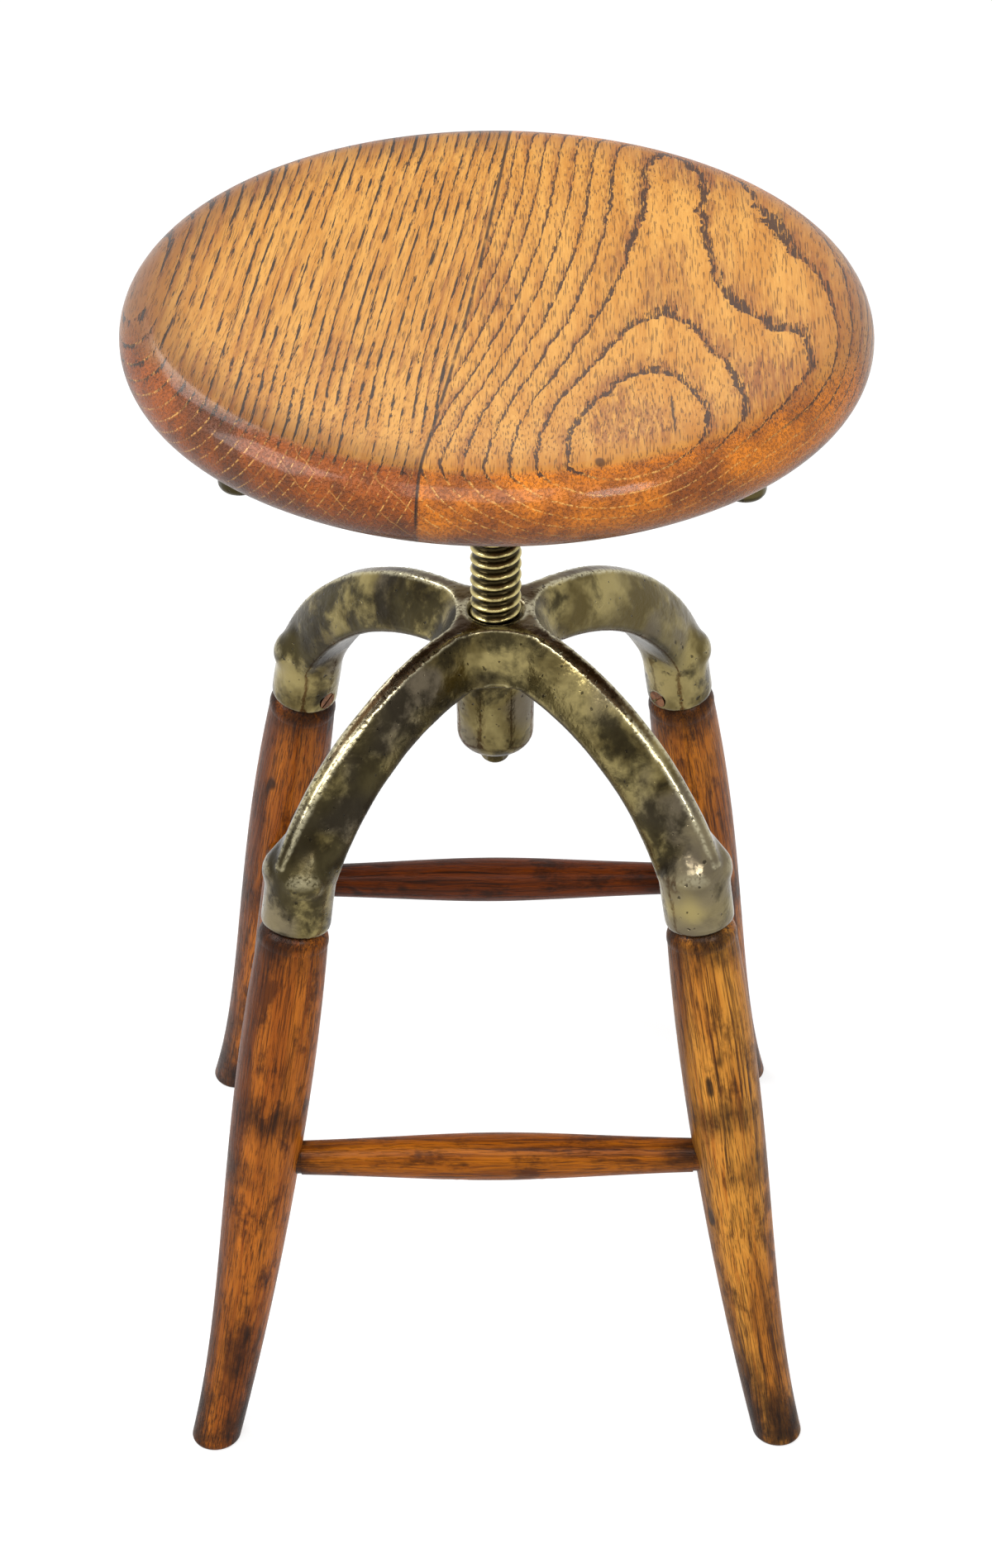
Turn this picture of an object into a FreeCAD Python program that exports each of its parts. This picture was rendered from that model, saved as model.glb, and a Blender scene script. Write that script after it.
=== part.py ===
import FreeCAD, Part
import math
import os

# Antique screw-post drafting stool: oak seat, cast spiders, threaded post, turned legs and stretchers.
# Frame: millimetres, +Z up, +Y to the rear, origin on the floor under the seat's axis.
# The stool stands with the seat screwed up to its stop.

# Seat boards
seat_diameter = 356.0
seat_thickness = 36.4
seat_lower_edge_radius = 16.6
seat_dish_depth = 11.0
seat_rim_roll_radius = 110.0
seat_joint_angle = 82.0
seat_joint_offset = 13.5
dowel_diameter = 8.0
dowel_length = 60.0
dowel_spacing = 95.0
dowel_count = 3
dowel_height_in_seat = 12.0
dowel_play = 0.05
dowel_end_gap = 1.0

# Threaded post and its stop
post_diameter = 25.4
thread_pitch = 6.35
thread_depth = 2.4
thread_play = 0.5
lift_turns = 15.5
lowered_gap = 1.6
post_shank_diameter = 20.0
post_top_gap = 4.0
post_pin_diameter = 6.0
stop_washer_thickness = 3.0
stop_washer_gap = 0.3
stop_washer_overhang = 2.6
stop_bolt_shank_diameter = 10.0
stop_bolt_grip = 30.0
stop_bolt_collar_diameter = 17.0
stop_bolt_collar_height = 8.0
stop_bolt_head_width = 13.0
stop_bolt_head_height = 5.5
stop_bolt_head_chamfer = 1.2
stop_bolt_head_sides = 6
turning_gap = 0.2

# Seat spider
boss_height = 42.2
boss_diameter = 42.0
boss_plate_diameter = 72.0
boss_plate_thickness = 7.0
seat_arm_turn = -2.0
seat_arm_half_spread = 41.0
seat_arm_root = 16.0
seat_arm_root_width = 19.0
seat_arm_root_depth = 25.0
seat_arm_tip_width = 14.0
seat_arm_tip_depth = 9.0
seat_arm_upper_edge_radius = 0.6
seat_arm_lower_edge_share = 0.25
lug_circle_diameter = 306.0
lug_diameter = 20.0
lug_thickness = 12.0
lug_edge_radius = 4.0
seat_screw_diameter = 4.8
seat_screw_length = 30.0

# Base spider hub
hub_top_height = 422.0
hub_wall_height = 27.0
hub_top_wall_distance = 19.0
hub_bottom_wall_distance = 31.0
hub_finger_inset = 0.4
hub_top_flat_radius = 17.0
hub_top_fall = 5.2
barrel_length = 81.5
barrel_diameter = 40.4
barrel_end_diameter = 39.0
barrel_end_radius = 10.0
counterbore_depth = 8.0
counterbore_play = 0.7
hub_mouth_relief = 0.3
hub_mouth_depth = 3.0
hub_mouth_chamfer = 1.8

# Base spider arms
arm_count = 4
arm_first_azimuth = 45.0
arm_bend_start = 19.0
arm_root = 15.0
arm_ridge_half_width = 4.0
arm_ridge_half_width_at_socket = 2.6
arm_under_half_width = 14.0
arm_under_half_width_at_socket = 15.2
arm_depth = 30.0
arm_depth_at_socket = 30.5
arm_side_bulge = 1.2
arm_side_bulge_at_socket = 3.6
arm_under_corner_radius = 4.0
arm_height_on_socket = 36.0
arm_section_count = 7

# Sockets at the ends of the arms
socket_circle_radius = 141.0
socket_rim_height = 302.0
socket_diameter = 34.6
socket_length = 44.0
socket_shoulder_radius = 13.0
socket_rim_radius = 3.5
socket_bore_diameter = 26.4
socket_bore_depth = 28.0
bore_overrun = 1.0
toe_radius = 12.4
toe_angle = 48.0
toe_height = 30.0
toe_bulge = 2.2
toe_root_radius = 10.0
toe_root_depth = 14.0
toe_root_offset = 2.0
toe_length = 14.0
screw_head_diameter = 9.6
screw_head_depth = 3.4
screw_shank_diameter = 4.4
screw_length = 24.0
screw_height = 7.5
screw_head_inset = 0.4
screw_slot_width = 1.2
screw_slot_depth = 1.3
screw_play = 0.05

# Legs
leg_splay = 11.2
leg_flare_height = 112.0
leg_flare_radius = 850.0
leg_shoulder_diameter = 28.6
leg_shoulder_depth = 9.0
leg_neck_diameter = 34.8
leg_belly_diameter = 38.0
leg_belly_height = 195.0
leg_calf_diameter = 33.2
leg_calf_height = 120.0
leg_ankle_diameter = 27.8
leg_ankle_height = 58.0
foot_diameter = 24.6
foot_below_floor = 14.0
foot_edge_radius = 2.5
tenon_play = 0.1
tenon_end_gap = 1.0

# Stretchers
stretcher_front_height = 167.0
stretcher_rear_height = 163.0
stretcher_side_height = 200.0
stretcher_middle_diameter = 24.3
stretcher_quarter_diameter = 21.6
stretcher_quarter_place = 45.0
stretcher_end_diameter = 17.4
stretcher_tenon_diameter = 16.2
stretcher_tenon_past_axis = 4.0
stretcher_shoulder_gap = 0.4
brad_diameter = 2.4
brad_length = 20.0
brad_sink = 0.3
brad_play = 0.02

# Heights and radii that follow from the sizes above
lift = lift_turns * thread_pitch
boss_bottom_height = hub_top_height + lowered_gap + lift
seat_underside_height = boss_bottom_height + boss_height
barrel_bottom_height = hub_top_height - barrel_length
stop_shoulder_height = barrel_bottom_height + counterbore_depth
washer_top_height = stop_shoulder_height - stop_washer_gap
washer_bottom_height = washer_top_height - stop_washer_thickness
post_bottom_height = washer_top_height + turning_gap
collar_top_height = washer_bottom_height - turning_gap
post_top_height = seat_underside_height - post_top_gap
thread_offset = thread_depth / 2
thread_mean_radius = post_diameter / 2 - thread_offset
thread_reference_height = barrel_bottom_height
washer_radius = post_diameter / 2 - thread_depth + stop_washer_overhang
counterbore_radius = washer_radius + counterbore_play
tenon_radius = socket_bore_diameter / 2 - tenon_play
leg_foot_height = -foot_below_floor

X_AXIS = FreeCAD.Vector(1, 0, 0)
Y_AXIS = FreeCAD.Vector(0, 1, 0)
Z_AXIS = FreeCAD.Vector(0, 0, 1)
ORIGIN = FreeCAD.Vector(0, 0, 0)
ARM_NAMES = ("rear_right", "rear_left", "front_left", "front_right")
BRADDED_STRETCHERS = ("right", "left")


def point(x, y, z):
    """Return a point in space."""
    return FreeCAD.Vector(x, y, z)


def turned(shape, azimuth):
    """Return a copy of a shape turned about the stool's axis, in degrees."""
    copy = shape.copy()
    copy.rotate(ORIGIN, Z_AXIS, azimuth)
    return copy


def arm_azimuth(index):
    """Return the compass angle of one arm of the base spider, in degrees."""
    return arm_first_azimuth + index * 360.0 / arm_count


def fused(shapes):
    """Return several overlapping solids as one solid."""
    return shapes[0].multiFuse(shapes[1:]).removeSplitter()


def line(start, end):
    """Return a straight edge."""
    return Part.LineSegment(start, end).toShape()


def arc(start, middle, end):
    """Return a circular edge through three points."""
    return Part.Arc(start, middle, end).toShape()


def spun(edges, axis_start=ORIGIN, axis=Z_AXIS):
    """Return the solid made by turning a closed outline once round an axis."""
    face = Part.Face(Part.Wire(edges))
    return face.revolve(axis_start, axis, 360)


def outline(corners):
    """Return the edges of a closed outline with straight sides."""
    ends = corners[1:] + corners[:1]
    return [line(start, end) for start, end in zip(corners, ends)]


def rounded_outline(corners, radii):
    """Return the edges of a closed outline whose corners are rounded by tangent arcs."""
    edges = []
    touches = []
    count = len(corners)
    for index in range(count):
        corner = corners[index]
        before = (corners[index - 1] - corner).normalize()
        after = (corners[(index + 1) % count] - corner).normalize()
        half_angle = before.getAngle(after) / 2
        reach = radii[index] / math.tan(half_angle)
        bisector = (before + after).normalize()
        to_arc = radii[index] / math.sin(half_angle) - radii[index]
        touches.append((corner + before * reach, corner + bisector * to_arc, corner + after * reach))
    for index in range(count):
        first, middle, last = touches[index]
        edges.append(arc(first, middle, last))
        edges.append(line(last, touches[(index + 1) % count][0]))
    return edges


def cylinder_between(start, end, radius):
    """Return a round bar between two points."""
    along = end - start
    return Part.makeCylinder(radius, along.Length, start, along)


def edges_below(shape, height):
    """Return the edges of a shape that lie below a height."""
    return [edge for edge in shape.Edges if edge.BoundBox.ZMax < height]


def seat_blank():
    """Return the whole dished seat, before it is parted at its glue joint."""
    rim = seat_diameter / 2
    under = seat_underside_height
    upper_radius = seat_thickness - seat_lower_edge_radius
    crest = rim - upper_radius
    top = under + seat_thickness
    edge_height = under + seat_lower_edge_radius
    half = math.sqrt(0.5)
    roll_angle = 2 * math.atan(seat_dish_depth / crest)
    dish_radius = crest / math.sin(roll_angle) - seat_rim_roll_radius
    roll_end = dish_radius * math.sin(roll_angle)
    dish_bottom = top - seat_dish_depth

    def roll(angle):
        inward = seat_rim_roll_radius * math.sin(angle)
        down = seat_rim_roll_radius * (1 - math.cos(angle))
        return point(crest - inward, 0, top - down)

    def dish(angle):
        return point(dish_radius * math.sin(angle), 0, dish_bottom + dish_radius * (1 - math.cos(angle)))

    lower_centre = rim - seat_lower_edge_radius
    lower_bend = seat_lower_edge_radius * half
    lower_middle = point(lower_centre + lower_bend, 0, edge_height - lower_bend)
    upper_middle = point(crest + upper_radius * half, 0, edge_height + upper_radius * half)
    roll_join = point(roll_end, 0, dish(roll_angle).z)
    edges = [
        line(point(0, 0, under), point(lower_centre, 0, under)),
        arc(point(lower_centre, 0, under), lower_middle, point(rim, 0, edge_height)),
        arc(point(rim, 0, edge_height), upper_middle, point(crest, 0, top)),
        arc(point(crest, 0, top), roll(roll_angle / 2), roll_join),
        arc(roll_join, dish(roll_angle / 2), point(0, 0, dish_bottom)),
        line(point(0, 0, dish_bottom), point(0, 0, under)),
    ]
    return spun(edges)


def joint_frame(shape):
    """Return a shape moved from a frame on the glue joint, X across it, to the seat."""
    copy = shape.copy()
    copy.translate(point(0, 0, seat_underside_height))
    copy.rotate(ORIGIN, Z_AXIS, seat_joint_angle - 90)
    return copy


def seat_dowels(end_gap=0.0, play=0.0):
    """Return the dowels across the glue joint, or with a gap and play, their holes."""
    radius = dowel_diameter / 2 + play
    half_length = dowel_length / 2 + end_gap
    dowels = []
    for index in range(dowel_count):
        along = (index - (dowel_count - 1) / 2) * dowel_spacing
        start = point(-seat_joint_offset - half_length, along, dowel_height_in_seat)
        end = point(-seat_joint_offset + half_length, along, dowel_height_in_seat)
        dowels.append(joint_frame(cylinder_between(start, end, radius)))
    return Part.makeCompound(dowels)


def seat_boards():
    """Return the left and right boards of the seat."""
    size = 2 * seat_diameter
    corner = point(-seat_joint_offset - size, -size / 2, -seat_thickness)
    left_half = joint_frame(Part.makeBox(size, size, 3 * seat_thickness, corner))
    holes = Part.makeCompound([seat_dowels(dowel_end_gap, dowel_play), seat_screws(screw_play)])
    blank = seat_blank()
    left = blank.common(left_half).cut(holes)
    right = blank.cut(left_half).cut(holes)
    return left, right


def thread(radius, bottom, top):
    """Return a bar with a single round right-hand thread.

    Its level section is a circle that stands off the axis and runs round it once in each pitch.
    """
    start_angle = 360 * (bottom - thread_reference_height) / thread_pitch
    spine = Part.makeLongHelix(thread_pitch, top - bottom, thread_offset, 0, False)
    section = Part.makeCircle(radius, point(thread_offset, 0, 0), Z_AXIS)
    shell = Part.BRepOffsetAPI.MakePipeShell(Part.Wire(spine.Edges))
    shell.setTrihedronMode(ORIGIN, Z_AXIS)
    shell.add(Part.Wire(section))
    shell.build()
    shell.makeSolid()
    bar = shell.shape()
    bar.rotate(ORIGIN, Z_AXIS, start_angle)
    bar.translate(point(0, 0, bottom))
    return bar


def post_pin(play=0.0):
    """Return the cross pin that holds the post in the seat spider, or its hole."""
    height = boss_bottom_height + (boss_height - boss_plate_thickness) / 2
    half_length = boss_diameter / 2
    radius = post_pin_diameter / 2 + play
    return cylinder_between(point(-half_length, 0, height), point(half_length, 0, height), radius)


def seat_post():
    """Return the threaded post with its plain top end."""
    bar = thread(thread_mean_radius, post_bottom_height, boss_bottom_height)
    shank_radius = post_shank_diameter / 2
    shank_bottom = boss_bottom_height - thread_pitch
    shank = cylinder_between(point(0, 0, shank_bottom), point(0, 0, post_top_height), shank_radius)
    bolt_radius = stop_bolt_shank_diameter / 2 + tenon_play
    hole_top = point(0, 0, post_bottom_height + stop_bolt_grip + tenon_end_gap)
    hole = cylinder_between(point(0, 0, post_bottom_height - bore_overrun), hole_top, bolt_radius)
    return bar.fuse(shank).cut(hole).cut(post_pin())


def stop_washer():
    """Return the loose washer that stops the post in the barrel's counterbore."""
    bottom = point(0, 0, washer_bottom_height)
    top = point(0, 0, washer_top_height)
    hole_radius = stop_bolt_shank_diameter / 2 + turning_gap
    return cylinder_between(bottom, top, washer_radius).cut(cylinder_between(bottom, top, hole_radius))


def stop_bolt():
    """Return the bolt that holds the washer under the post, with its collar and six-sided head."""
    shank_bottom = point(0, 0, collar_top_height - stop_bolt_collar_height)
    shank_top = point(0, 0, post_bottom_height + stop_bolt_grip)
    shank = cylinder_between(shank_bottom, shank_top, stop_bolt_shank_diameter / 2)
    collar = cylinder_between(shank_bottom, point(0, 0, collar_top_height), stop_bolt_collar_diameter / 2)
    lower_edges = edges_below(collar, shank_bottom.z + stop_bolt_head_chamfer)
    collar = collar.makeChamfer(stop_bolt_head_chamfer, lower_edges)
    head_bottom = shank_bottom.z - stop_bolt_head_height
    half_side_angle = math.pi / stop_bolt_head_sides
    corner_radius = stop_bolt_head_width / 2 / math.cos(half_side_angle)
    corners = []
    for index in range(stop_bolt_head_sides):
        angle = 2 * half_side_angle * index
        corners.append(point(corner_radius * math.cos(angle), corner_radius * math.sin(angle), head_bottom))
    prism = Part.Face(Part.Wire(outline(corners))).extrude(point(0, 0, stop_bolt_head_height))
    cone_height = corner_radius + stop_bolt_head_height
    dome_radius = stop_bolt_head_width / 2 - stop_bolt_head_chamfer
    dome = Part.makeCone(dome_radius, dome_radius + cone_height, cone_height, point(0, 0, head_bottom))
    return fused([shank, collar, prism.common(dome)])


def seat_arm_azimuth(index):
    """Return the compass angle of one arm of the seat spider, in degrees."""
    side, end = divmod(index, 2)
    spread = seat_arm_half_spread if end == side else -seat_arm_half_spread
    return 180.0 * side + spread + seat_arm_turn


def lug_place(index):
    """Return the centre of one lug of the seat spider, on the seat's underside."""
    angle = math.radians(seat_arm_azimuth(index))
    radius = lug_circle_diameter / 2
    return point(radius * math.cos(angle), radius * math.sin(angle), seat_underside_height)


def slotted_screw(shank_diameter, length, play=0.0, head_room=0.0):
    """Return a countersunk screw along +Z, its head's flat face at the origin.

    With play and head room it is the hole that the screw goes in, without the slot.
    """
    head = screw_head_diameter / 2 + play
    shank = shank_diameter / 2 + play
    top = point(0, 0, -head_room)
    shape = Part.makeCone(head, shank, screw_head_depth)
    shape = shape.fuse(cylinder_between(ORIGIN, point(0, 0, length + play), shank))
    if head_room > 0:
        return shape.fuse(cylinder_between(top, ORIGIN, head)).removeSplitter()
    corner = point(-screw_head_diameter, -screw_slot_width / 2, 0)
    slot = Part.makeBox(2 * screw_head_diameter, screw_slot_width, screw_slot_depth, corner)
    slot.rotate(ORIGIN, Z_AXIS, arm_first_azimuth)
    return shape.removeSplitter().cut(slot)


def seat_screws(play=0.0, head_room=0.0):
    """Return the screws that hold the seat spider to the seat, or their holes."""
    screws = []
    for index in range(arm_count):
        screw = slotted_screw(seat_screw_diameter, seat_screw_length, play, head_room)
        screw.translate(lug_place(index) - point(0, 0, lug_thickness))
        screws.append(screw)
    return Part.makeCompound(screws)


def seat_arm():
    """Return one arm of the seat spider along +X, with its lug."""
    top = seat_underside_height
    tip = lug_circle_diameter / 2

    def section(x, width, depth):
        corners = [
            point(x, -width / 2, top),
            point(x, width / 2, top),
            point(x, width / 2, top - depth),
            point(x, -width / 2, top - depth),
        ]
        upper = seat_arm_upper_edge_radius
        lower = seat_arm_lower_edge_share * min(width, depth)
        return Part.Wire(rounded_outline(corners, [upper, upper, lower, lower]))

    root = section(seat_arm_root, seat_arm_root_width, seat_arm_root_depth)
    end = section(tip, seat_arm_tip_width, seat_arm_tip_depth)
    bar = Part.makeLoft([root, end], True, True)
    lug_bottom = point(tip, 0, top - lug_thickness)
    lug = cylinder_between(lug_bottom, point(tip, 0, top), lug_diameter / 2)
    lug = lug.makeFillet(lug_edge_radius, edges_below(lug, lug_bottom.z + lug_edge_radius))
    return bar.fuse(lug)


def seat_spider():
    """Return the casting under the seat: a boss for the post and four arms with screw lugs."""
    bottom = point(0, 0, boss_bottom_height)
    top = point(0, 0, seat_underside_height)
    plate_bottom = seat_underside_height - boss_plate_thickness
    boss = cylinder_between(bottom, top, boss_diameter / 2)
    flare_bottom = plate_bottom - boss_plate_thickness
    flare = Part.makeCone(
        boss_diameter / 2,
        boss_plate_diameter / 2,
        boss_plate_thickness,
        point(0, 0, flare_bottom),
    )
    plate = cylinder_between(point(0, 0, plate_bottom), top, boss_plate_diameter / 2)
    pieces = [boss, flare, plate]
    for index in range(arm_count):
        pieces.append(turned(seat_arm(), seat_arm_azimuth(index)))
    bore = cylinder_between(bottom, top, post_shank_diameter / 2 + tenon_play)
    casting = fused(pieces).cut(bore).cut(post_pin())
    return casting.cut(seat_screws(screw_play, lug_thickness))


def hub_outline(height, half_width, wall_distance):
    """Return the hub's level outline: four fingers joined by hollow round walls.

    Args:
        height: level of the outline above the floor.
        half_width: half the width of each finger.
        wall_distance: distance from the axis to the middle of each hollow wall.
    """
    wall_radius = (wall_distance - half_width * math.sqrt(2)) / (math.sqrt(2) - 1)
    reach = half_width + wall_radius
    edges = []
    for index in range(arm_count):
        along = turned(Part.Vertex(reach, 0, 0), arm_azimuth(index)).Point
        across = turned(Part.Vertex(0, half_width, 0), arm_azimuth(index)).Point
        next_along = turned(Part.Vertex(reach, 0, 0), arm_azimuth(index + 1)).Point
        next_across = turned(Part.Vertex(0, half_width, 0), arm_azimuth(index + 1)).Point
        middle_azimuth = arm_azimuth(index + 0.5)
        middle = turned(Part.Vertex(wall_distance, 0, 0), middle_azimuth).Point
        lift_up = point(0, 0, height)
        edges.append(line(along - across + lift_up, along + across + lift_up))
        edges.append(arc(along + across + lift_up, middle + lift_up, next_along - next_across + lift_up))
    return Part.Wire(edges)


def above_fingers():
    """Return the ring of space above the hub's fingers, which slope down under the arms' ridges."""
    reach = hub_bottom_wall_distance * 2
    top = hub_top_height + hub_wall_height
    fall = (reach - hub_top_flat_radius) * math.tan(math.radians(hub_top_fall))
    corners = [
        point(hub_top_flat_radius, 0, hub_top_height),
        point(reach, 0, hub_top_height - fall),
        point(reach, 0, top),
        point(hub_top_flat_radius, 0, top),
    ]
    return spun(outline(corners))


def hub():
    """Return the hub: the fingers' hollow walls and the barrel that hangs below."""
    top = hub_outline(hub_top_height, arm_ridge_half_width - hub_finger_inset, hub_top_wall_distance)
    wall_bottom = hub_top_height - hub_wall_height
    bottom = hub_outline(wall_bottom, arm_under_half_width - hub_finger_inset, hub_bottom_wall_distance)
    walls = Part.makeLoft([bottom, top], True, True).cut(above_fingers())
    outer = barrel_diameter / 2
    end = barrel_end_diameter / 2
    half = math.sqrt(0.5)
    round_centre = point(end - barrel_end_radius, 0, barrel_bottom_height + barrel_end_radius)
    round_middle = round_centre + point(barrel_end_radius * half, 0, -barrel_end_radius * half)
    barrel_top = (hub_top_height + wall_bottom) / 2
    round_start = point(end, 0, round_centre.z)
    round_end = point(round_centre.x, 0, barrel_bottom_height)
    edges = [
        line(point(0, 0, barrel_top), point(outer, 0, barrel_top)),
        line(point(outer, 0, barrel_top), round_start),
        arc(round_start, round_middle, round_end),
        line(round_end, point(0, 0, barrel_bottom_height)),
        line(point(0, 0, barrel_bottom_height), point(0, 0, barrel_top)),
    ]
    return walls, spun(edges)


def hub_bore():
    """Return what is bored out of the hub: the stop's counterbore, the chamfered mouth and the thread."""
    radius = thread_mean_radius + thread_play
    mouth_radius = radius + thread_offset + hub_mouth_relief
    above = point(0, 0, hub_top_height + thread_pitch)
    below = point(0, 0, barrel_bottom_height - thread_pitch)
    shoulder = point(0, 0, stop_shoulder_height)
    mouth_bottom = point(0, 0, hub_top_height - hub_mouth_depth)
    chamfer_bottom = point(0, 0, hub_top_height - hub_mouth_chamfer)
    chamfer_height = 2 * hub_mouth_chamfer
    counterbore = cylinder_between(below, shoulder, counterbore_radius)
    mouth = cylinder_between(mouth_bottom, above, mouth_radius)
    chamfer = Part.makeCone(mouth_radius, mouth_radius + chamfer_height, chamfer_height, chamfer_bottom)
    tapped = thread(radius, shoulder.z - thread_pitch, above.z)
    return counterbore, mouth, chamfer, tapped


def socket_frame(shape):
    """Return a shape moved from a frame on a socket's rim, Z up its axis, to the arm along +X."""
    copy = shape.copy()
    copy.rotate(ORIGIN, Y_AXIS, -leg_splay)
    copy.translate(point(socket_circle_radius, 0, socket_rim_height))
    return copy


def socket_point(x, y, z):
    """Return a point given in the frame of a socket's rim, for the arm along +X."""
    return socket_frame(Part.Vertex(x, y, z)).Point


def arm_arc():
    """Return the radius of the arm's ridge in side view and the angle that it turns through."""
    end = socket_point(socket_diameter / 2, 0, arm_height_on_socket)
    run = end.x - arm_bend_start
    drop = hub_top_height - end.z
    radius = (run * run + drop * drop) / (2 * drop)
    return radius, math.asin(run / radius)


def arm():
    """Return one arm of the base spider along +X: a ridged bar that curves down to its socket."""
    radius, turn = arm_arc()

    def section(x, z, angle, share):
        ridge = arm_ridge_half_width + share * (arm_ridge_half_width_at_socket - arm_ridge_half_width)
        under = arm_under_half_width + share * (arm_under_half_width_at_socket - arm_under_half_width)
        depth = arm_depth + share * (arm_depth_at_socket - arm_depth)
        bulge = arm_side_bulge + share * (arm_side_bulge_at_socket - arm_side_bulge)
        corner = arm_under_corner_radius
        side_depth = depth - corner

        def at(across, down):
            inward = point(-math.sin(angle), 0, -math.cos(angle)) * down
            return point(x, across, z) + inward

        def side_middle(side):
            return at(side * ((ridge + under) / 2 + bulge), side_depth / 2)

        def corner_middle(side):
            cut = corner * (1 - math.sqrt(0.5))
            return at(side * (under - cut), depth - cut)

        return Part.Wire([
            line(at(-ridge, 0), at(ridge, 0)),
            arc(at(ridge, 0), side_middle(1), at(under, side_depth)),
            arc(at(under, side_depth), corner_middle(1), at(under - corner, depth)),
            line(at(under - corner, depth), at(corner - under, depth)),
            arc(at(corner - under, depth), corner_middle(-1), at(-under, side_depth)),
            arc(at(-under, side_depth), side_middle(-1), at(-ridge, 0)),
        ])

    straight = Part.makeLoft(
        [section(arm_root, hub_top_height, 0, 0), section(arm_bend_start, hub_top_height, 0, 0)],
        True,
        True,
    )
    sections = []
    for index in range(arm_section_count):
        share = index / (arm_section_count - 1)
        angle = share * turn
        x = arm_bend_start + radius * math.sin(angle)
        z = hub_top_height - radius * (1 - math.cos(angle))
        sections.append(section(x, z, angle, share))
    return straight, Part.makeLoft(sections, True, False)


def socket_body():
    """Return one socket cup, without its bore, on the arm along +X."""
    outer = socket_diameter / 2
    half = math.sqrt(0.5)
    shoulder_centre = point(outer - socket_shoulder_radius, 0, socket_length - socket_shoulder_radius)
    shoulder_middle = shoulder_centre + point(half, 0, half) * socket_shoulder_radius
    rim_centre = point(outer - socket_rim_radius, 0, socket_rim_radius)
    rim_middle = rim_centre + point(half, 0, -half) * socket_rim_radius
    rim_inner = point(rim_centre.x, 0, 0)
    rim_outer = point(outer, 0, rim_centre.z)
    shoulder_outer = point(outer, 0, shoulder_centre.z)
    shoulder_inner = point(shoulder_centre.x, 0, socket_length)
    edges = [
        line(point(0, 0, 0), rim_inner),
        arc(rim_inner, rim_middle, rim_outer),
        line(rim_outer, shoulder_outer),
        arc(shoulder_outer, shoulder_middle, shoulder_inner),
        line(shoulder_inner, point(0, 0, socket_length)),
        line(point(0, 0, socket_length), point(0, 0, 0)),
    ]
    return socket_frame(spun(edges))


def tapered_peg(start, start_radius, end, end_radius):
    """Return a peg with a ball at each end and a cone that touches both."""
    along = end - start
    span = along.Length
    lean = math.asin((start_radius - end_radius) / span)

    def on_ball(centre, radius, angle):
        return point(centre + radius * math.cos(angle), radius * math.sin(angle), 0)

    touch = math.pi / 2 - lean
    edges = [
        arc(
            on_ball(0, start_radius, math.pi),
            on_ball(0, start_radius, (math.pi + touch) / 2),
            on_ball(0, start_radius, touch),
        ),
        line(on_ball(0, start_radius, touch), on_ball(span, end_radius, touch)),
        arc(
            on_ball(span, end_radius, touch),
            on_ball(span, end_radius, touch / 2),
            on_ball(span, end_radius, 0),
        ),
        line(on_ball(span, end_radius, 0), on_ball(0, start_radius, math.pi)),
    ]
    peg = spun(edges, ORIGIN, X_AXIS)
    peg.Placement = FreeCAD.Placement(start, FreeCAD.Rotation(X_AXIS, along))
    return peg


def toes():
    """Return the two rounded toes that end an arm's side faces on its socket, along +X."""
    stand_off = socket_diameter / 2 + toe_bulge - toe_radius
    radius, turn = arm_arc()
    root_angle = turn - toe_length / radius
    root_radius = radius - toe_root_depth
    root_x = arm_bend_start + root_radius * math.sin(root_angle)
    root_z = hub_top_height - radius + root_radius * math.cos(root_angle)
    pegs = []
    for side in (-1, 1):
        angle = math.radians(side * toe_angle)
        tip = socket_point(stand_off * math.cos(angle), stand_off * math.sin(angle), toe_height)
        root = point(root_x, side * toe_root_offset, root_z)
        pegs.append(tapered_peg(tip, toe_radius, root, toe_root_radius))
    return pegs


def socket_screw(play=0.0, head_room=0.0):
    """Return the screw in a socket's inner side, or its hole, on the arm along +X."""
    screw = slotted_screw(screw_shank_diameter, screw_length, play, head_room)
    screw.rotate(ORIGIN, Y_AXIS, 90)
    screw.translate(point(-socket_diameter / 2 + screw_head_inset, 0, screw_height))
    return socket_frame(screw)


def socket_bore():
    """Return the blind bore for a leg's tenon, on the arm along +X."""
    mouth = point(0, 0, -bore_overrun)
    end = point(0, 0, socket_bore_depth)
    return socket_frame(cylinder_between(mouth, end, socket_bore_diameter / 2))


def base_spider():
    """Return the casting that joins the legs: hub, four arms and four sockets."""
    pieces = list(hub())
    holes = list(hub_bore())
    for index in range(arm_count):
        azimuth = arm_azimuth(index)
        limb = [*arm(), socket_body(), *toes()]
        pieces.extend(turned(shape, azimuth) for shape in limb)
        holes.append(turned(socket_bore(), azimuth))
        holes.append(turned(socket_screw(screw_play, socket_diameter), azimuth))
    casting = fused(pieces)
    for hole in holes:
        casting = casting.cut(hole)
    return casting


def leg_axis(height):
    """Return a leg axis's distance from the stool's axis, and its tilt in radians, at a height."""
    splay = math.radians(leg_splay)
    if height >= leg_flare_height:
        return socket_circle_radius + (socket_rim_height - height) * math.tan(splay), splay
    start = socket_circle_radius + (socket_rim_height - leg_flare_height) * math.tan(splay)
    centre_height = leg_flare_height + leg_flare_radius * math.sin(splay)
    tilt = math.asin((centre_height - height) / leg_flare_radius)
    return start + leg_flare_radius * (math.cos(splay) - math.cos(tilt)), tilt


def leg_section(height, diameter):
    """Return a round section of a leg, square to its axis, on the arm along +X."""
    radius, tilt = leg_axis(height)
    normal = point(math.sin(tilt), 0, -math.cos(tilt))
    return Part.Wire(Part.makeCircle(diameter / 2, point(radius, 0, height), normal))


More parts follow.
